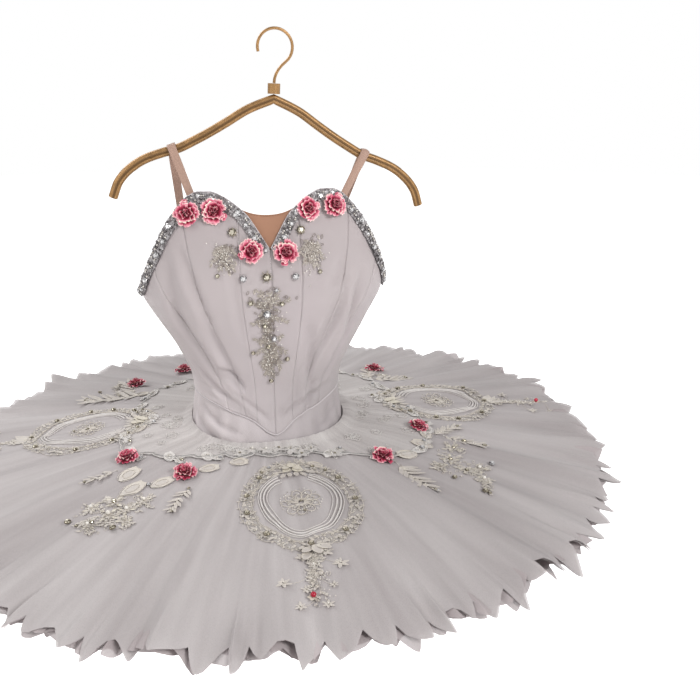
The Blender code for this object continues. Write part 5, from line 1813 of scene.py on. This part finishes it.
@dataclass
class Medallion:
    """An oval lace medallion on the skirt: a flowered ring, a double oval, a rosette and a tail."""
    word: str
    degrees: float
    middle: float
    long: float
    seed: int
    wide: float = 0.069
    oval: tuple = (0.0450, 0.70)
    stations: tuple = (-177.5, 142, 92, 56, -40, -70, -95, -132)
    reach: float = 1.0
    bead: tuple = (-0.0086, 0.0772)

    def ring(self, turn: Array, share: Array) -> tuple:
        """Return x and y on the medallion's oval at turns, by the share of its size."""
        return self.wide * share * np.sin(turn), self.middle - self.long * share * np.cos(turn)

    def build(self) -> None:
        """Make the ring with its ground, the double oval, the rosette and the tail."""
        name, lace = f"medallion_{self.word}", Lace(skirt_bed(self.degrees), self.seed)
        for lay in (self.lay_ring, self.lay_oval, self.lay_cap, self.lay_rosette, self.lay_tail):
            lay(lace)
        lace.make(f"{name}_lace", CREAM_THREAD, "cream_lace",
                  [f"{name}_{part}" for part in ("ring", "oval", "rosette", "tail")], 0.00045)
        turn, rim = turns(160), np.linspace(0, 1, 7)[:, None]
        grid = lace.bed(*self.ring(turn, np.linspace(0.80, 0.98, 7)[:, None] + 0.02 * np.cos(20 * turn) * rim), -0.0003)
        ground = cloth_grid(f"{name}_ground", grid, LACE_GROUND, wrap=True)
        dress(ground)

    def lay_ring(self, lace: Lace) -> None:
        """Lay the flowered ring.

        Args:
            lace: the piece that it belongs to.
        """
        turn, chance = turns(200), lace.chance
        lace.stroke(*self.ring(turn, 0.985 + 0.035 * np.abs(np.sin(turn * 10)) + 0.008 * np.sin(7 * turn)),
                    closed=True, thick=0.7)
        for share, thick in ((0.815, 0.9), (0.790, 0.6)):
            lace.stroke(*self.ring(turn, share + 0.010 * np.sin(15 * turn)), closed=True, thick=thick)
        for here in np.radians(self.stations):
            place = self.ring(here, 0.905)
            lace.blossom(*place, 0.0075, 6, GOLD, 0.0074, here)
            lace.blossom(*place, 0.0042, 5, GOLD, 0.0, here + 0.5)
        here = math.tau * (np.arange(46) + chance.uniform(-0.3, 0.3, 46)) / 46
        way = np.arctan2(self.long * np.sin(here), self.wide * np.cos(here))
        for share, lean, length in ((0.845, 0.9, 0.0078), (0.905, -0.7, 0.0082), (0.955, 0.5, 0.0070),
                                    (0.985, -1.2, 0.0052)):
            place = self.ring(here + chance.uniform(-0.04, 0.04, 46), share + chance.uniform(-0.020, 0.020, 46))
            lace.petal(*place, way + lean + chance.uniform(-0.6, 0.6, 46), length, length * 0.46)
        spin = turns(7)
        for share, size in zip(chance.uniform(0.82, 1.0, 90), chance.uniform(0.0012, 0.0024, 90)):
            x, y = self.ring(chance.uniform(0, math.tau), share)
            lace.stroke(x + size * np.cos(spin), y + size * 0.75 * np.sin(spin), closed=True, thick=0.6)
        x, y = self.ring(chance.uniform(0, math.tau, 170), chance.uniform(0.80, 1.01, 170))
        lace.jewel(BEAD, x, y, 0.0015, 0.0008)

    def lay_oval(self, lace: Lace) -> None:
        """Lay the nested cords of the oval, open at its inner end.

        Args:
            lace: the piece that they belong to.
        """
        wide, long = self.oval[0], self.long * self.oval[1]
        turn = np.linspace(0.40, math.tau - 0.40, 120)
        uneven = 0.0010 * np.sin(3 * turn + self.seed) + 0.0007 * np.sin(5 * turn + 1)
        for reach, thick in ((-0.0030, 0.70), (0.0, 1.15), (0.0042, 1.2), (0.0086, 0.65)):
            drift = 0.0016 * np.cos(turn + 0.6) * (reach + 0.003) / 0.008
            x = (wide - reach + uneven + drift) * np.sin(turn) * (1 + 0.06 * np.cos(turn))
            lace.stroke(x, self.middle - (long - reach + uneven - drift) * np.cos(turn), thick=thick, heavy=True)

    def lay_cap(self, lace: Lace) -> None:
        """Lay the pale flower at the ring's inner end with the small flowers and leaves beside it.

        Args:
            lace: the piece that they belong to.
        """
        inner = self.middle - self.long
        lace.petal(np.array([-0.004, 0.004, 0.0, -0.003, 0.003]),
                   inner + np.array([0.006, 0.006, 0.002, 0.012, 0.012]),
                   np.array([2.0, 1.14, 1.57, 2.3, 0.85]), 0.0130, 0.0105, 0.0010, tinted=True)
        for x, y, reach, kind in ((-0.026, 0.006, 0.0080, STONE), (0.026, 0.012, 0.0075, GOLD),
                                  (-0.014, 0.000, 0.0070, BEAD), (0.013, -0.002, 0.0065, BEAD),
                                  (-0.036, 0.014, 0.0070, GOLD), (0.040, 0.022, 0.0070, GOLD)):
            lace.blossom(x, inner + y, reach, 7, kind, 0.0022 if kind is BEAD else 0.0052, x * 50)
        for sign in (-1, 1):
            lace.petal(sign * np.array([0.004, 0.010, 0.017]), inner + np.array([0.020, 0.022, 0.020]),
                       math.pi / 2 - sign * np.array([0.0, 0.45, 0.9]), 0.0125, 0.0062)
            lace.oval(sign * 0.022, inner + 0.003, math.pi / 2 - sign * 1.1, 0.019, 0.0100)
        lace.fill(0.0, inner + 0.004, 0.026, 0.0065, 34)

    def lay_rosette(self, lace: Lace) -> None:
        """Lay the dotted rosette in the middle.

        Args:
            lace: the piece that it belongs to.
        """
        spin, chance = turns(14), lace.chance
        for number in range(9):
            way = math.tau * (number + 0.5 + chance.uniform(-0.15, 0.15)) / 9
            reach = chance.uniform(0.9, 1.08)
            along, aside = reach * (0.0142 + 0.0086 * np.cos(spin)), 0.0056 * np.sin(spin)
            for scale, thick in ((1.0, 0.95), (0.66, 0.8)):
                lace.stroke(*turned(0, self.middle, way, along * scale, aside * scale), closed=True, thick=thick)
            lace.petal(*turned(0, self.middle, way, 0.0035, 0), way, 0.0080, 0.0034)
            x, y = turned(0, self.middle, way, 0.0150, 0)
            lace.jewel(BEAD, x + chance.normal(0, 0.0022, 5), y + chance.normal(0, 0.0022, 5), 0.0016, 0.0005)
        ring = turns(30)
        reach = 0.0232 + 0.0012 * np.cos(9 * ring)
        lace.jewel(BEAD, reach * np.cos(ring), self.middle + reach * np.sin(ring), 0.0016)
        lace.jewel(GOLD, np.array([0.0, 0.001]), self.middle + np.array([-0.001, 0.0175]), 0.0038, 0.0010)

    def lay_tail(self, lace: Lace) -> None:
        """Lay the hanging sprig with its red bead.

        Args:
            lace: the piece that it belongs to.
        """
        start, reach, chance = self.middle + self.long, self.reach, lace.chance
        lace.petal(np.array([-0.004, 0.001, 0.004, -0.008]), start - 0.003 + np.array([0, 0, 0, 0.006]),
                   np.array([2.35, 1.45, 0.75, 2.0]), 0.0160, 0.0115, 0.0004)
        run = np.linspace(0, 1, 24)
        spine_x, spine_y = -0.002 - 0.007 * run + 0.0016 * np.sin(run * 9), start + 0.004 + 0.074 * run * reach
        lace.stroke(spine_x, spine_y, thick=0.9, taper=True)
        lace.fill(-0.004, start + 0.018 * reach, 0.0085, 0.011, 34)
        lace.fill(-0.007, start + 0.044 * reach, 0.0075, 0.014, 26)
        way = np.linspace(0, 1, 8)
        for x, y, size in ((-0.014, 0.008, 0.0078), (0.009, 0.012, 0.0085), (-0.006, 0.026, 0.0070),
                           (-0.041, 0.053, 0.0075), (0.021, 0.033, 0.0080), (0.0075, 0.070, 0.0050),
                           (-0.029, 0.088, 0.0058), (-0.003, 0.098, 0.0058), (-0.019, 0.062, 0.0055)):
            y *= reach
            lace.blossom(x, start + y, size, 6, BEAD, 0.0018, x * 90)
            near_x, near_y = -0.004, start + min(max(y - 0.016, 0.008), 0.074)
            lace.stroke(near_x + (x - near_x) * way,
                        near_y + (start + y - near_y) * way + 0.004 * np.sin(math.pi * way), thick=0.5)
        for share, turn, size in ((0.2, 0.5, 0.009), (0.35, 2.5, 0.010), (0.5, 0.8, 0.010), (0.65, 2.5, 0.011),
                                  (0.8, 2.9, 0.010), (0.95, 1.0, 0.009), (1.0, 2.2, 0.010)):
            at = int(share * 23)
            lace.leaf(float(spine_x[at]), float(spine_y[at]), turn, size, 3, 0.0026)
        x, y = self.bead[0], start + self.bead[1]
        lace.petal(x, y, turns(6), 0.0058, 0.0046, 0.0006, tinted=True)
        lace.jewel(RED, x, y, 0.0066, 0.0012)
        lace.jewel(BEAD, chance.normal(-0.006, 0.007, 50), start + 0.006 + chance.uniform(0, 0.090, 50) * reach,
                   0.0015, 0.0006)


@dataclass
class Spray:
    """A lace branch on the skirt that grows out from under the yoke, told in degrees and radii."""
    word: str
    degrees: float
    seed: int
    leaves: tuple
    clusters: tuple
    stones: tuple
    fronds: tuple

    def at(self, degrees: float, radius: float) -> tuple:
        """Return x and y of a place given by its radius and its angle, as it is on the left."""
        turn = math.radians((degrees - abs(self.degrees)) * math.copysign(1, self.degrees))
        return radius * math.sin(turn), radius * math.cos(turn)

    def build(self) -> None:
        """Make the branch with its leaves, blossoms, fronds and stones."""
        lace, sign = Lace(skirt_bed(self.degrees), self.seed), math.copysign(1, self.degrees)
        chance = lace.chance
        for degrees, radius, way, length in self.leaves:
            lace.oval(*self.at(degrees, radius), math.pi / 2 - sign * math.radians(way), length, length * 0.66)
        for number, (degrees, radius, reach, kind) in enumerate(self.clusters):
            x, y = self.at(degrees, radius)
            lace.blossom(x, y, reach * 0.8, 6, kind, reach * 0.62, number * 1.3)
            for turn in chance.uniform(0, math.tau, 4):
                lace.leaf(x, y, turn, reach * 1.7, 4, reach * 0.28)
            spin = math.tau * np.arange(4) / 4 + number
            lace.petal(x + reach * 0.6 * np.cos(spin), y + reach * 0.6 * np.sin(spin), spin, reach * 0.75,
                       reach * 0.40, 0.0003, tinted=True)
            lace.fill(x, y, reach * 1.5, reach * 1.5, 16)
        for degrees, radius, kind, size in self.stones:
            lace.jewel(kind, *self.at(degrees, radius), size, 0.0010)
        for frond in self.fronds:
            (ax, ay), (bx, by) = self.at(*frond[:2]), self.at(*frond[2:])
            length = math.hypot(bx - ax, by - ay)
            lace.leaf(ax, ay, math.atan2(by - ay, bx - ax), length, 6, length * 0.088)
            share = chance.random(10)
            lace.jewel(BEAD, ax + (bx - ax) * share + chance.normal(0, 0.002, 10), ay + (by - ay) * share, 0.0016)
            lace.jewel(GOLD, bx, by, 0.0046, 0.0008)
        lace.make(f"{self.word}_lace", CREAM_THREAD, "cream_lace", (self.word,), 0.00045)


@dataclass
class YokeEdge:
    """The corded leaves, grey cord and stones along the yoke's scalloped edge, and the flowers worked on it."""
    leaf: float = 0.025
    flowers: int = 70
    crown: tuple = ((-22.8, 0.134, 0.009, 5), (-17.0, 0.122, 0.011, 6), (-9.0, 0.123, 0.012, 6),
                    (-1.5, 0.120, 0.010, 5), (5.0, 0.1255, 0.014, 6), (9.5, 0.140, 0.011, 5),
                    (16.0, 0.133, 0.010, 6), (24.0, 0.157, 0.009, 5))  # degrees, radius, reach and petals

    def build(self) -> None:
        """Make the edge."""
        lace = Lace(lambda x, y, lift=0.0: polar(y, x / 0.2, seat_on_net(y, x / 0.2, lift)), 61)
        angle = wrapped(turns(960))
        edge = yoke_edge(angle)
        grey = Lines()
        grey.add(lace.bed(angle * 0.2, edge - 0.0030 + 0.0010 * np.sin(60 * angle), 0.0005), closed=True, thick=0.8)
        grey.make("yoke_grey_cord", 0.00055, GREY_THREAD, "silver_trim", 5)
        lace.stroke(angle * 0.2, edge, closed=True)
        for number in range(OVERLAY_LOBES):
            here = float(wrapped(math.tau * (number + 0.5) / OVERLAY_LOBES))
            if float(yoke_edge(here)) > 0.150:
                self.lay_lobe(lace, number, here * 0.2, float(yoke_edge(here)))
        chance = lace.chance
        for _ in range(self.flowers):
            spot = chance.uniform(-math.pi, math.pi)
            radius = chance.uniform(0.122, max(0.126, float(yoke_edge(spot)) - 0.018))
            spin, size = turns(20), chance.uniform(0.8, 1.3)
            for reach in (0.0078, 0.0042):
                reach = size * reach * (0.62 + 0.38 * np.abs(np.cos(2.5 * spin)))
                lace.stroke((spot + reach * np.cos(spin + spot) / radius) * 0.2, radius + reach * np.sin(spin + spot),
                            closed=True, thick=0.7)
        for degrees, radius, reach, petals in self.crown:
            x = math.radians(degrees) * 0.2
            lace.fill(x, radius, 0.011, 0.006, 12)
            lace.blossom(x, radius, reach, petals, GOLD if petals == 5 else BEAD, 0.0036)
        lace.make("yoke_edge", WHITE_THREAD, "white_lace")

    def lay_lobe(self, lace: Lace, number: int, x: float, edge: float) -> None:
        """Lay the leaf, petals, stone and beads of one lobe.

        Args:
            lace: the piece that they belong to.
            number: which lobe it is.
            x: how far round its middle is.
            edge: how far out the yoke reaches there.
        """
        chance = lace.chance
        way, half, y = chance.uniform(-0.5, 0.5), self.leaf * 0.5, edge - 0.004
        lace.oval(x - half * math.cos(way), y - half * math.sin(way), way, self.leaf, self.leaf * 0.54)
        lace.jewel(BEAD, x + chance.normal(0, 0.003, 6), y + chance.normal(0, 0.002, 6), 0.0018, 0.0010)
        lace.jewel(STONE if number % 2 else GOLD, x + 0.0225, edge - 0.007, 0.0052, 0.0008)
        lace.petal(x + 0.020, edge - 0.005, np.array([0.5, 1.6, 2.8]), 0.0085, 0.0060, 0.0002)
        lace.fill(x + 0.020, edge - 0.006, 0.007, 0.005, 10)


@dataclass
class BodiceLace:
    """The beaded lace on the bodice: a hanging motif at the centre and a frond under each cup's roses."""
    centre: tuple = (-1.5, 0.185)
    frond: tuple = (15.5, 0.288)
    middle_stone: tuple = (-1.4, 0.2632)

    def build(self) -> None:
        """Make the three motifs and the loose stones."""
        self.build_centre()
        for side in Side:
            self.build_frond(side)

    @staticmethod
    def finish(lace: Lace, word: str) -> None:
        """Make a motif in beige thread, its cords and its petals' hearts darkened with painted shadow."""
        name = f"bodice_motif_{word}"
        lace.make(f"{name}_lace", BEIGE_THREAD, "cream_lace", (name,), 0.00046, SHADOWED_BEIGE_CORD)

    def build_centre(self) -> None:
        """Make the centre motif."""
        lace = Lace(bodice_bed(*self.centre), 17)
        for x, y, way, length in (
                (0.0, 0.040, 0.45, 0.020), (0.0, 0.040, 2.7, 0.020), (0.0, 0.044, 1.15, 0.020),
                (0.0, 0.044, 2.0, 0.020), (0.0, 0.028, -0.35, 0.019), (0.0, 0.028, 3.5, 0.018),
                (0.0, 0.000, 0.35, 0.014), (0.0, -0.002, 2.9, 0.017), (0.0, -0.006, -0.6, 0.021),
                (0.0, -0.006, 3.74, 0.019), (0.0, -0.014, -1.1, 0.024), (0.0, -0.014, 4.24, 0.022),
                (0.0, -0.024, -1.45, 0.026), (-0.001, -0.022, -1.8, 0.024)):
            lace.leaf(x, y, way, length, 5, 0.0019)
        for patch in ((0.0, 0.050, 0.014, 0.010, 30), (0.0, 0.030, 0.009, 0.009, 34),
                      (-0.001, 0.012, 0.006, 0.010, 26), (0.001, -0.008, 0.009, 0.010, 34),
                      (0.001, -0.030, 0.009, 0.014, 42)):
            lace.fill(*patch)
        run = np.linspace(0, 1, 20)
        lace.stroke(0.0015 * np.sin(9 * run), 0.055 - 0.105 * run, thick=0.9)
        for kind, x, y, size in (
                (STONE, -0.001, 0.0337, 0.0098), (GOLD, -0.0155, 0.0478, 0.0062), (GOLD, 0.0112, 0.0456, 0.0062),
                (GOLD, -0.0035, 0.0192, 0.0060), (STONE, 0.0040, 0.0019, 0.0070), (GOLD, -0.0012, -0.0082, 0.0064),
                (GOLD, -0.0200, -0.0155, 0.0056), (GOLD, 0.0195, -0.0261, 0.0062), (GOLD, 0.0005, -0.0544, 0.0062),
                (STONE, 0.0068, 0.0623, 0.0050)):
            lace.jewel(kind, x, y, size, 0.0018)
        lace.jewel(BEAD, lace.chance.normal(0, 0.006, 70), lace.chance.uniform(-0.050, 0.060, 70), 0.0016, 0.0006)
        self.finish(lace, "centre")

    def build_frond(self, side: Side) -> None:
        """Make the frond and the stones beside one cup.

        Args:
            side: which side of the wearer.
        """
        sign = side.value
        degrees, level = self.frond
        lace = Lace(bodice_bed(sign * degrees - 0.9, level), 23 + sign)
        for way, length in ((-1.75, 0.024), (-1.25, 0.028), (-0.85, 0.024), (-0.45, 0.015), (-2.3, 0.015)):
            lace.leaf(-sign * 0.002, 0.012, way if sign > 0 else math.pi - way, length, 5, 0.0019)
        lace.fill(sign * 0.001, 0.000, 0.010, 0.014, 46)
        for kind, x, y, size in ((GOLD, 0.0095, -0.0215, 0.0056), (GOLD, -0.0095, 0.0265, 0.0098),
                                 (STONE, -0.0130, 0.0455, 0.0066), (STONE, -0.0175, -0.0255, 0.0086)):
            lace.jewel(kind, sign * x, y, size, 0.0014)
        lace.blossom(-sign * 0.0095, 0.0265, 0.0064, 9, GOLD, 0.0)
        lace.jewel(BEAD, lace.chance.normal(0, 0.008, 30), lace.chance.normal(-0.004, 0.012, 30), 0.0016, 0.0006)
        if side is Side.LEFT:
            lace.bed = bodice_bed(*self.middle_stone)
            lace.blossom(0.0, 0.0, 0.0070, 9, GOLD, 0.0098)
        self.finish(lace, side.word)


# ---------------------------------------------------------------- straps and hanger
@dataclass
class Hanger:
    """The lacquered hanger that the garment hangs from, and the two ribbon straps over its arms."""
    arm: tuple = ((0.000, 0.078), (0.030, 0.091), (0.055, 0.107), (0.0725, 0.118), (0.0925, 0.1295),
                  (0.114, 0.1405), (0.129, 0.145), (0.152, 0.154), (0.170, 0.1665), (0.183, 0.182), (0.190, 0.201))
    radius: float = 0.0055
    rows: int = 121
    sides: int = 40
    strap_width: float = 0.0102
    strap_thick: float = 0.0010
    straps: tuple = ((0.1135, 34, 149), (0.1195, 31, 146))  # how far out, and where each foot is, in degrees
    strap_clear: float = 0.0008
    strap_hem: float = 0.0104

    @cached_property
    def drop(self) -> SmoothColumn:
        """How far below the hook's seat the arm is, by how far out."""
        return SmoothColumn(self.arm)

    def rolled(self, points: Array) -> Array:
        """Turn points of the hanger with its roll, into the row frame."""
        c, s = math.cos(HANGER_ROLL), math.sin(HANGER_ROLL)
        points = np.asarray(points, float)
        return np.stack([points[..., 0] * c + points[..., 2] * s, points[..., 1],
                         -points[..., 0] * s + points[..., 2] * c], -1)

    def build(self) -> None:
        """Make the arms and both straps, and finish the neck and the hook."""
        self.build_arms()
        for node in ("hanger_neck", "hanger_hook"):
            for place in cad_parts[node].material_slots:
                place.material = GILT.material
        for side in Side:
            self.build_strap(side)

    def build_arms(self) -> None:
        """Make the arms as one bent bar with a groove along its front and its back."""
        turn, ring = np.linspace(-1, 1, self.rows), turns(self.sides)
        out = self.arm[-1][0] * np.sin(turn * math.pi / 2)
        middle = np.stack([out, np.zeros(self.rows), -self.drop(np.abs(out))], -1)
        up = -np.cross(unit(np.gradient(middle, axis=0)), np.array([0.0, 1.0, 0.0]))
        dip = np.exp(-((np.abs(np.cos(ring)) - 1) / 0.06) ** 2)
        reach = self.radius * (1 - 0.20 * dip)
        end = np.sqrt(np.clip(1 - np.clip((np.abs(turn) - 0.955) / 0.045, 0, 1) ** 2, 0.02, 1))
        grid = (middle[:, None] + reach[None, :, None] * end[:, None, None]
                * (np.cos(ring)[None, :, None] * np.array([0.0, -0.92, 0.0])
                   + np.sin(ring)[None, :, None] * up[:, None]))
        faces = grid_faces(self.rows, self.sides, True)[:, ::-1].tolist()
        ends = np.arange(self.rows * self.sides).reshape(self.rows, self.sides)
        faces += [ends[0].tolist(), ends[-1, ::-1].tolist()]
        arms = new_piece("hanger_bar", self.rolled(grid), [], faces,
                         groove=np.tile(smooth_step(dip, 0.15, 0.75), self.rows))
        arms.data.materials.append(GILT.material)
        dress(arms, ("hanger_arms",))

    def build_strap(self, side: Side) -> None:
        """Make one strap, from inside the cup over the arm to the back.

        Args:
            side: which side of the wearer.
        """
        on_arm, front_foot, back_foot = self.straps[0 if side is Side.LEFT else 1]
        out = side.value * on_arm
        arm = [self.rolled(np.array([x, 0.0, -float(self.drop(abs(x)))])) - GARMENT_AT
               for x in (out, out + 0.006, out - 0.006)]
        across = unit(arm[1] - arm[2])
        up = unit(np.cross(across, np.array([0.0, 1.0, 0.0])))
        reach = self.radius + self.strap_clear + self.strap_thick / 2
        points, widths = [], []

        def foot(degrees: float, drops: Sequence[float]) -> None:
            """Add the places where the strap is sewn in, by how far below the edge they are."""
            angle = np.full(len(drops), math.radians(degrees))
            height = TORSO.top(angle) - np.array(drops)
            around, _ = TORSO.tangents(angle, height)
            widths.extend(unit(around) * np.sign(np.cos(angle))[:, None])
            points.extend(TORSO.lifted(angle, height, -(WALL + ON_GAP + self.strap_thick)))

        foot(side.value * front_foot, (0.015, 0.008, 0.0))
        for turn in np.radians(np.linspace(43, 147, 15)):
            points.append(arm[0] + (np.array([0, -math.cos(turn), 0]) + up * math.sin(turn)) * reach)
            widths.append(across)
        foot(side.value * back_foot, (0.0, 0.008, 0.015))
        far = running(steps_of(np.array(points)))
        at = np.unique(np.concatenate([np.linspace(0, far[-1], 90), far]))
        line, width = (np.stack([np.interp(at, far, column) for column in zip(*part)], -1)
                       for part in (points, widths))
        width = unit(width)
        outward = unit(np.cross(width, unit(np.gradient(line, axis=0))))
        rows = []
        for share in np.linspace(-1, 1, 9):
            crown = 0.0004 * (1 - share ** 2) - 0.0002 * (abs(share) > 0.7)
            sway = 0.0005 * math.sin(share * 2.0 + side.value)
            rows.append(line + width * share * self.strap_width / 2 + outward * (crown + sway))
        ribbon = cloth_grid(f"ribbon_strap_{side.word}", np.array(rows), RIBBON, thickness=self.strap_thick)
        dress(ribbon, (f"strap_{side.word}",))


# ---------------------------------------------------------------- roses
@dataclass
class Roses:
    """The cloth roses on the bodice's edge and on the skirt, told in degrees and heights or radii."""
    radius: float = 0.0164
    on_bodice: tuple = ((-32.4, 0.335), (-20, 0.3375), (-6.4, 0.2925), (4.8, 0.2895), (14.8, 0.3375), (27.2, 0.340))
    on_skirt: tuple = ((-38.2, 0.193), (-63.4, 0.211), (38.1, 0.198), (68.8, 0.205), (-154, 0.262), (-134, 0.261),
                       (154, 0.262), (132.5, 0.2545))
    half: float = 0.012

    def build(self) -> None:
        """Make the roses."""
        chance = np.random.default_rng(9)
        spots = Spots()
        for degrees, height in self.on_bodice:
            angle = math.radians(degrees)
            lean = unit(TORSO.normal(angle, height) + chance.normal(0, 0.10, 3))
            spots.add(TORSO.lifted(angle, height, 0.0030), lean, chance.normal(0, 1, 3),
                      self.radius * chance.uniform(0.96, 1.06))
        self.finish(spots, "bodice", ROSE, len(self.on_bodice))
        spots = Spots()
        for degrees, radius in self.on_skirt:
            angle = math.radians(degrees)
            level = seat_on_net(np.array([radius - self.half, radius, radius + self.half]), np.full(3, angle))
            slope = (level[2] - level[0]) / (2 * self.half)
            normal = unit(np.array([-slope * math.sin(angle), slope * math.cos(angle), 1.0])
                          + chance.normal(0, 0.08, 3))
            spots.add(polar(radius, angle, level.max()), normal, chance.normal(0, 1, 3),
                      self.radius * chance.uniform(0.94, 1.02))
        self.finish(spots, "skirt", DEEP_ROSE, len(self.on_skirt))

    @staticmethod
    def finish(spots: Spots, where: str, cloth: Finish, count: int) -> None:
        """Set a rose on each spot, for the record's numbered roses."""
        spots.make(f"roses_{where}", SHAPES.carnation, cloth, "rose_pink",
                   [f"rose_{where}_{number}" for number in range(1, count + 1)], False)


FRONT_LEAVES = ((44, 0.205, 38, 0.026), (57, 0.206, 8, 0.028), (66, 0.212, -35, 0.022))
FRONT_CLUSTERS = ((60, 0.258, 0.0085, GOLD), (53.5, 0.262, 0.0100, GOLD), (47, 0.262, 0.0080, BEAD),
                  (50, 0.290, 0.0095, GOLD), (54, 0.300, 0.0080, BEAD), (48.5, 0.316, 0.0075, BEAD))
FRONT_STONES = ((54, 0.223, STONE, 0.0070), (65, 0.268, GOLD, 0.0068), (57.5, 0.311, STONE, 0.0080),
                (45, 0.326, GOLD, 0.0080), (45, 0.285, GOLD, 0.0064), (36.5, 0.288, STONE, 0.0050),
                (65, 0.296, GOLD, 0.0050))
RIGHT_LEAVES = ((56.0, 0.212, -2, 0.030), (47.5, 0.229, 2, 0.032), (40.8, 0.206, 22, 0.027), (28.5, 0.166, 40, 0.024),
                (17.0, 0.150, 50, 0.022))
RIGHT_CLUSTERS = ((47.1, 0.274, 0.0095, GOLD), (42.7, 0.2745, 0.0080, BEAD), (41.3, 0.2540, 0.0080, BEAD),
                  (45.0, 0.2914, 0.0100, BEAD), (40.4, 0.2905, 0.0075, BEAD), (50.6, 0.2931, 0.0075, BEAD),
                  (45.9, 0.3170, 0.0065, BEAD))
RIGHT_STONES = ((51.0, 0.3226, GOLD, 0.0080), (40.8, 0.3059, GOLD, 0.0082), (45.8, 0.3115, GOLD, 0.0054),
                (45.1, 0.2288, STONE, 0.0056), (32.3, 0.2175, GOLD, 0.0046))
MEDALLIONS = (Medallion("front", 1.9, 0.2370, 0.080, 41, reach=0.84, bead=(-0.0145, 0.0640)),
              Medallion("left", 96, 0.250, 0.084, 42), Medallion("right", -96, 0.250, 0.084, 43))
SPRAYS = (
    Spray("spray_front_left", 45, 71, FRONT_LEAVES, FRONT_CLUSTERS, FRONT_STONES,
          ((40, 0.212, 36.5, 0.284), (66, 0.226, 75, 0.258), (67, 0.240, 65, 0.294), (50, 0.318, 45, 0.332))),
    Spray("spray_front_right", -48, 72, RIGHT_LEAVES, RIGHT_CLUSTERS, RIGHT_STONES,
          ((32.1, 0.215, 31.8, 0.260), (60.2, 0.232, 61, 0.272), (46, 0.300, 47.5, 0.325))),
    Spray("spray_back_left", 128, 73, ((128, 0.205, 20, 0.022),), ((126, 0.240, 0.0070, BEAD),),
          ((120, 0.262, GOLD, 0.0060), (136, 0.262, STONE, 0.0060)),
          ((127, 0.212, 119, 0.262), (128, 0.212, 137, 0.262))),
    Spray("spray_back_right", -128, 74, ((128, 0.214, -20, 0.022),),
          ((127, 0.262, 0.0075, GOLD), (131, 0.286, 0.0060, BEAD)),
          ((120, 0.300, GOLD, 0.0060), (136, 0.296, STONE, 0.0060), (127, 0.306, GOLD, 0.0060)),
          ((128, 0.222, 119, 0.300), (128, 0.240, 137, 0.296))))


# ---------------------------------------------------------------- studio
@dataclass
class Studio:
    """The pale floor, the soft lights and the camera."""
    camera_at: tuple = (-0.124, -1.048, -0.044)
    camera_way: tuple = (0.189, 0.929, -0.317)
    lens: float = 43.2
    aim: tuple = (0.0, 0.0, -0.4)
    floor_at: float = -1.15
    floor_reach: float = 9.0
    floor_sides: int = 64
    floor_glow: float = 0.90
    daylight: float = 0.42
    lamps: tuple = (("key", (1.5, -2.4, 1.35), 1.1, 62.0), ("fill", (-2.4, -0.9, 1.3), 1.4, 21.0),
                    ("rear", (-1.5, 1.9, 1.8), 1.6, 44.0))  # name, place, side of its square and watts

    @staticmethod
    def place(name: str, data: bpy.types.ID, at: tuple, way: Vector) -> Piece:
        """Put a camera or a lamp at a place, looking a way."""
        thing = bpy.data.objects.new(name, data)
        thing.location, thing.rotation_euler = at, way.to_track_quat("-Z", "Y").to_euler()
        bpy.context.scene.collection.objects.link(thing)
        return thing

    def build(self) -> None:
        """Make the studio."""
        scene, lens = bpy.context.scene, bpy.data.cameras.new("camera")
        lens.lens, lens.sensor_width, lens.sensor_fit = self.lens, 36.0, "AUTO"
        lens.clip_start, lens.clip_end = 0.01, 60.0
        scene.camera = self.place("camera", lens, self.camera_at, Vector(self.camera_way))
        self.build_floor()
        for name, at, size, power in self.lamps:
            lamp = bpy.data.lights.new(name, "AREA")
            lamp.shape, lamp.size, lamp.energy = "SQUARE", size, power
            self.place(name, lamp, at, Vector(self.aim) - Vector(at))
        world = bpy.data.worlds.new("studio")
        world.use_nodes = True
        bench = Bench(world.node_tree)
        seen = bench.add("ShaderNodeLightPath").outputs["Is Camera Ray"]
        sky = world.node_tree.nodes["Background"].inputs
        bench.tree.links.new(bench.math("MULTIPLY_ADD", seen, 1.0 - self.daylight, self.daylight), sky[1])
        sky[0].default_value = (1.0, 1.0, 1.0, 1.0)
        scene.world = world
        scene.view_settings.view_transform = "Standard"

    def build_floor(self) -> None:
        """Make the round pale floor."""
        points = polar(self.floor_reach, turns(self.floor_sides) + math.pi / 2, self.floor_at)
        floor = new_piece("floor", points, [], [list(range(self.floor_sides))])
        paint = Finish("floor_white", (0.90, 0.90, 0.90), 0.9).material
        glow = paint.node_tree.nodes["Principled BSDF"].inputs
        glow["Emission Color"].default_value = (1.0, 1.0, 1.0, 1.0)
        glow["Emission Strength"].default_value = self.floor_glow
        floor.data.materials.append(paint)


def main() -> None:
    """Build the sub-assemblies in order."""
    logging.basicConfig(level=logging.INFO, format="%(name)s: %(message)s")
    for part in (Studio(), Hanger(), Bodice(), EdgeTrim(), Basque(), Knickers(), NetSkirt(), Yoke(), YokeEdge(),
                 *MEDALLIONS, *SPRAYS, BodiceLace(), Roses()):
        part.build()
    SHAPES.clear()


if __name__ == "__main__":
    main()
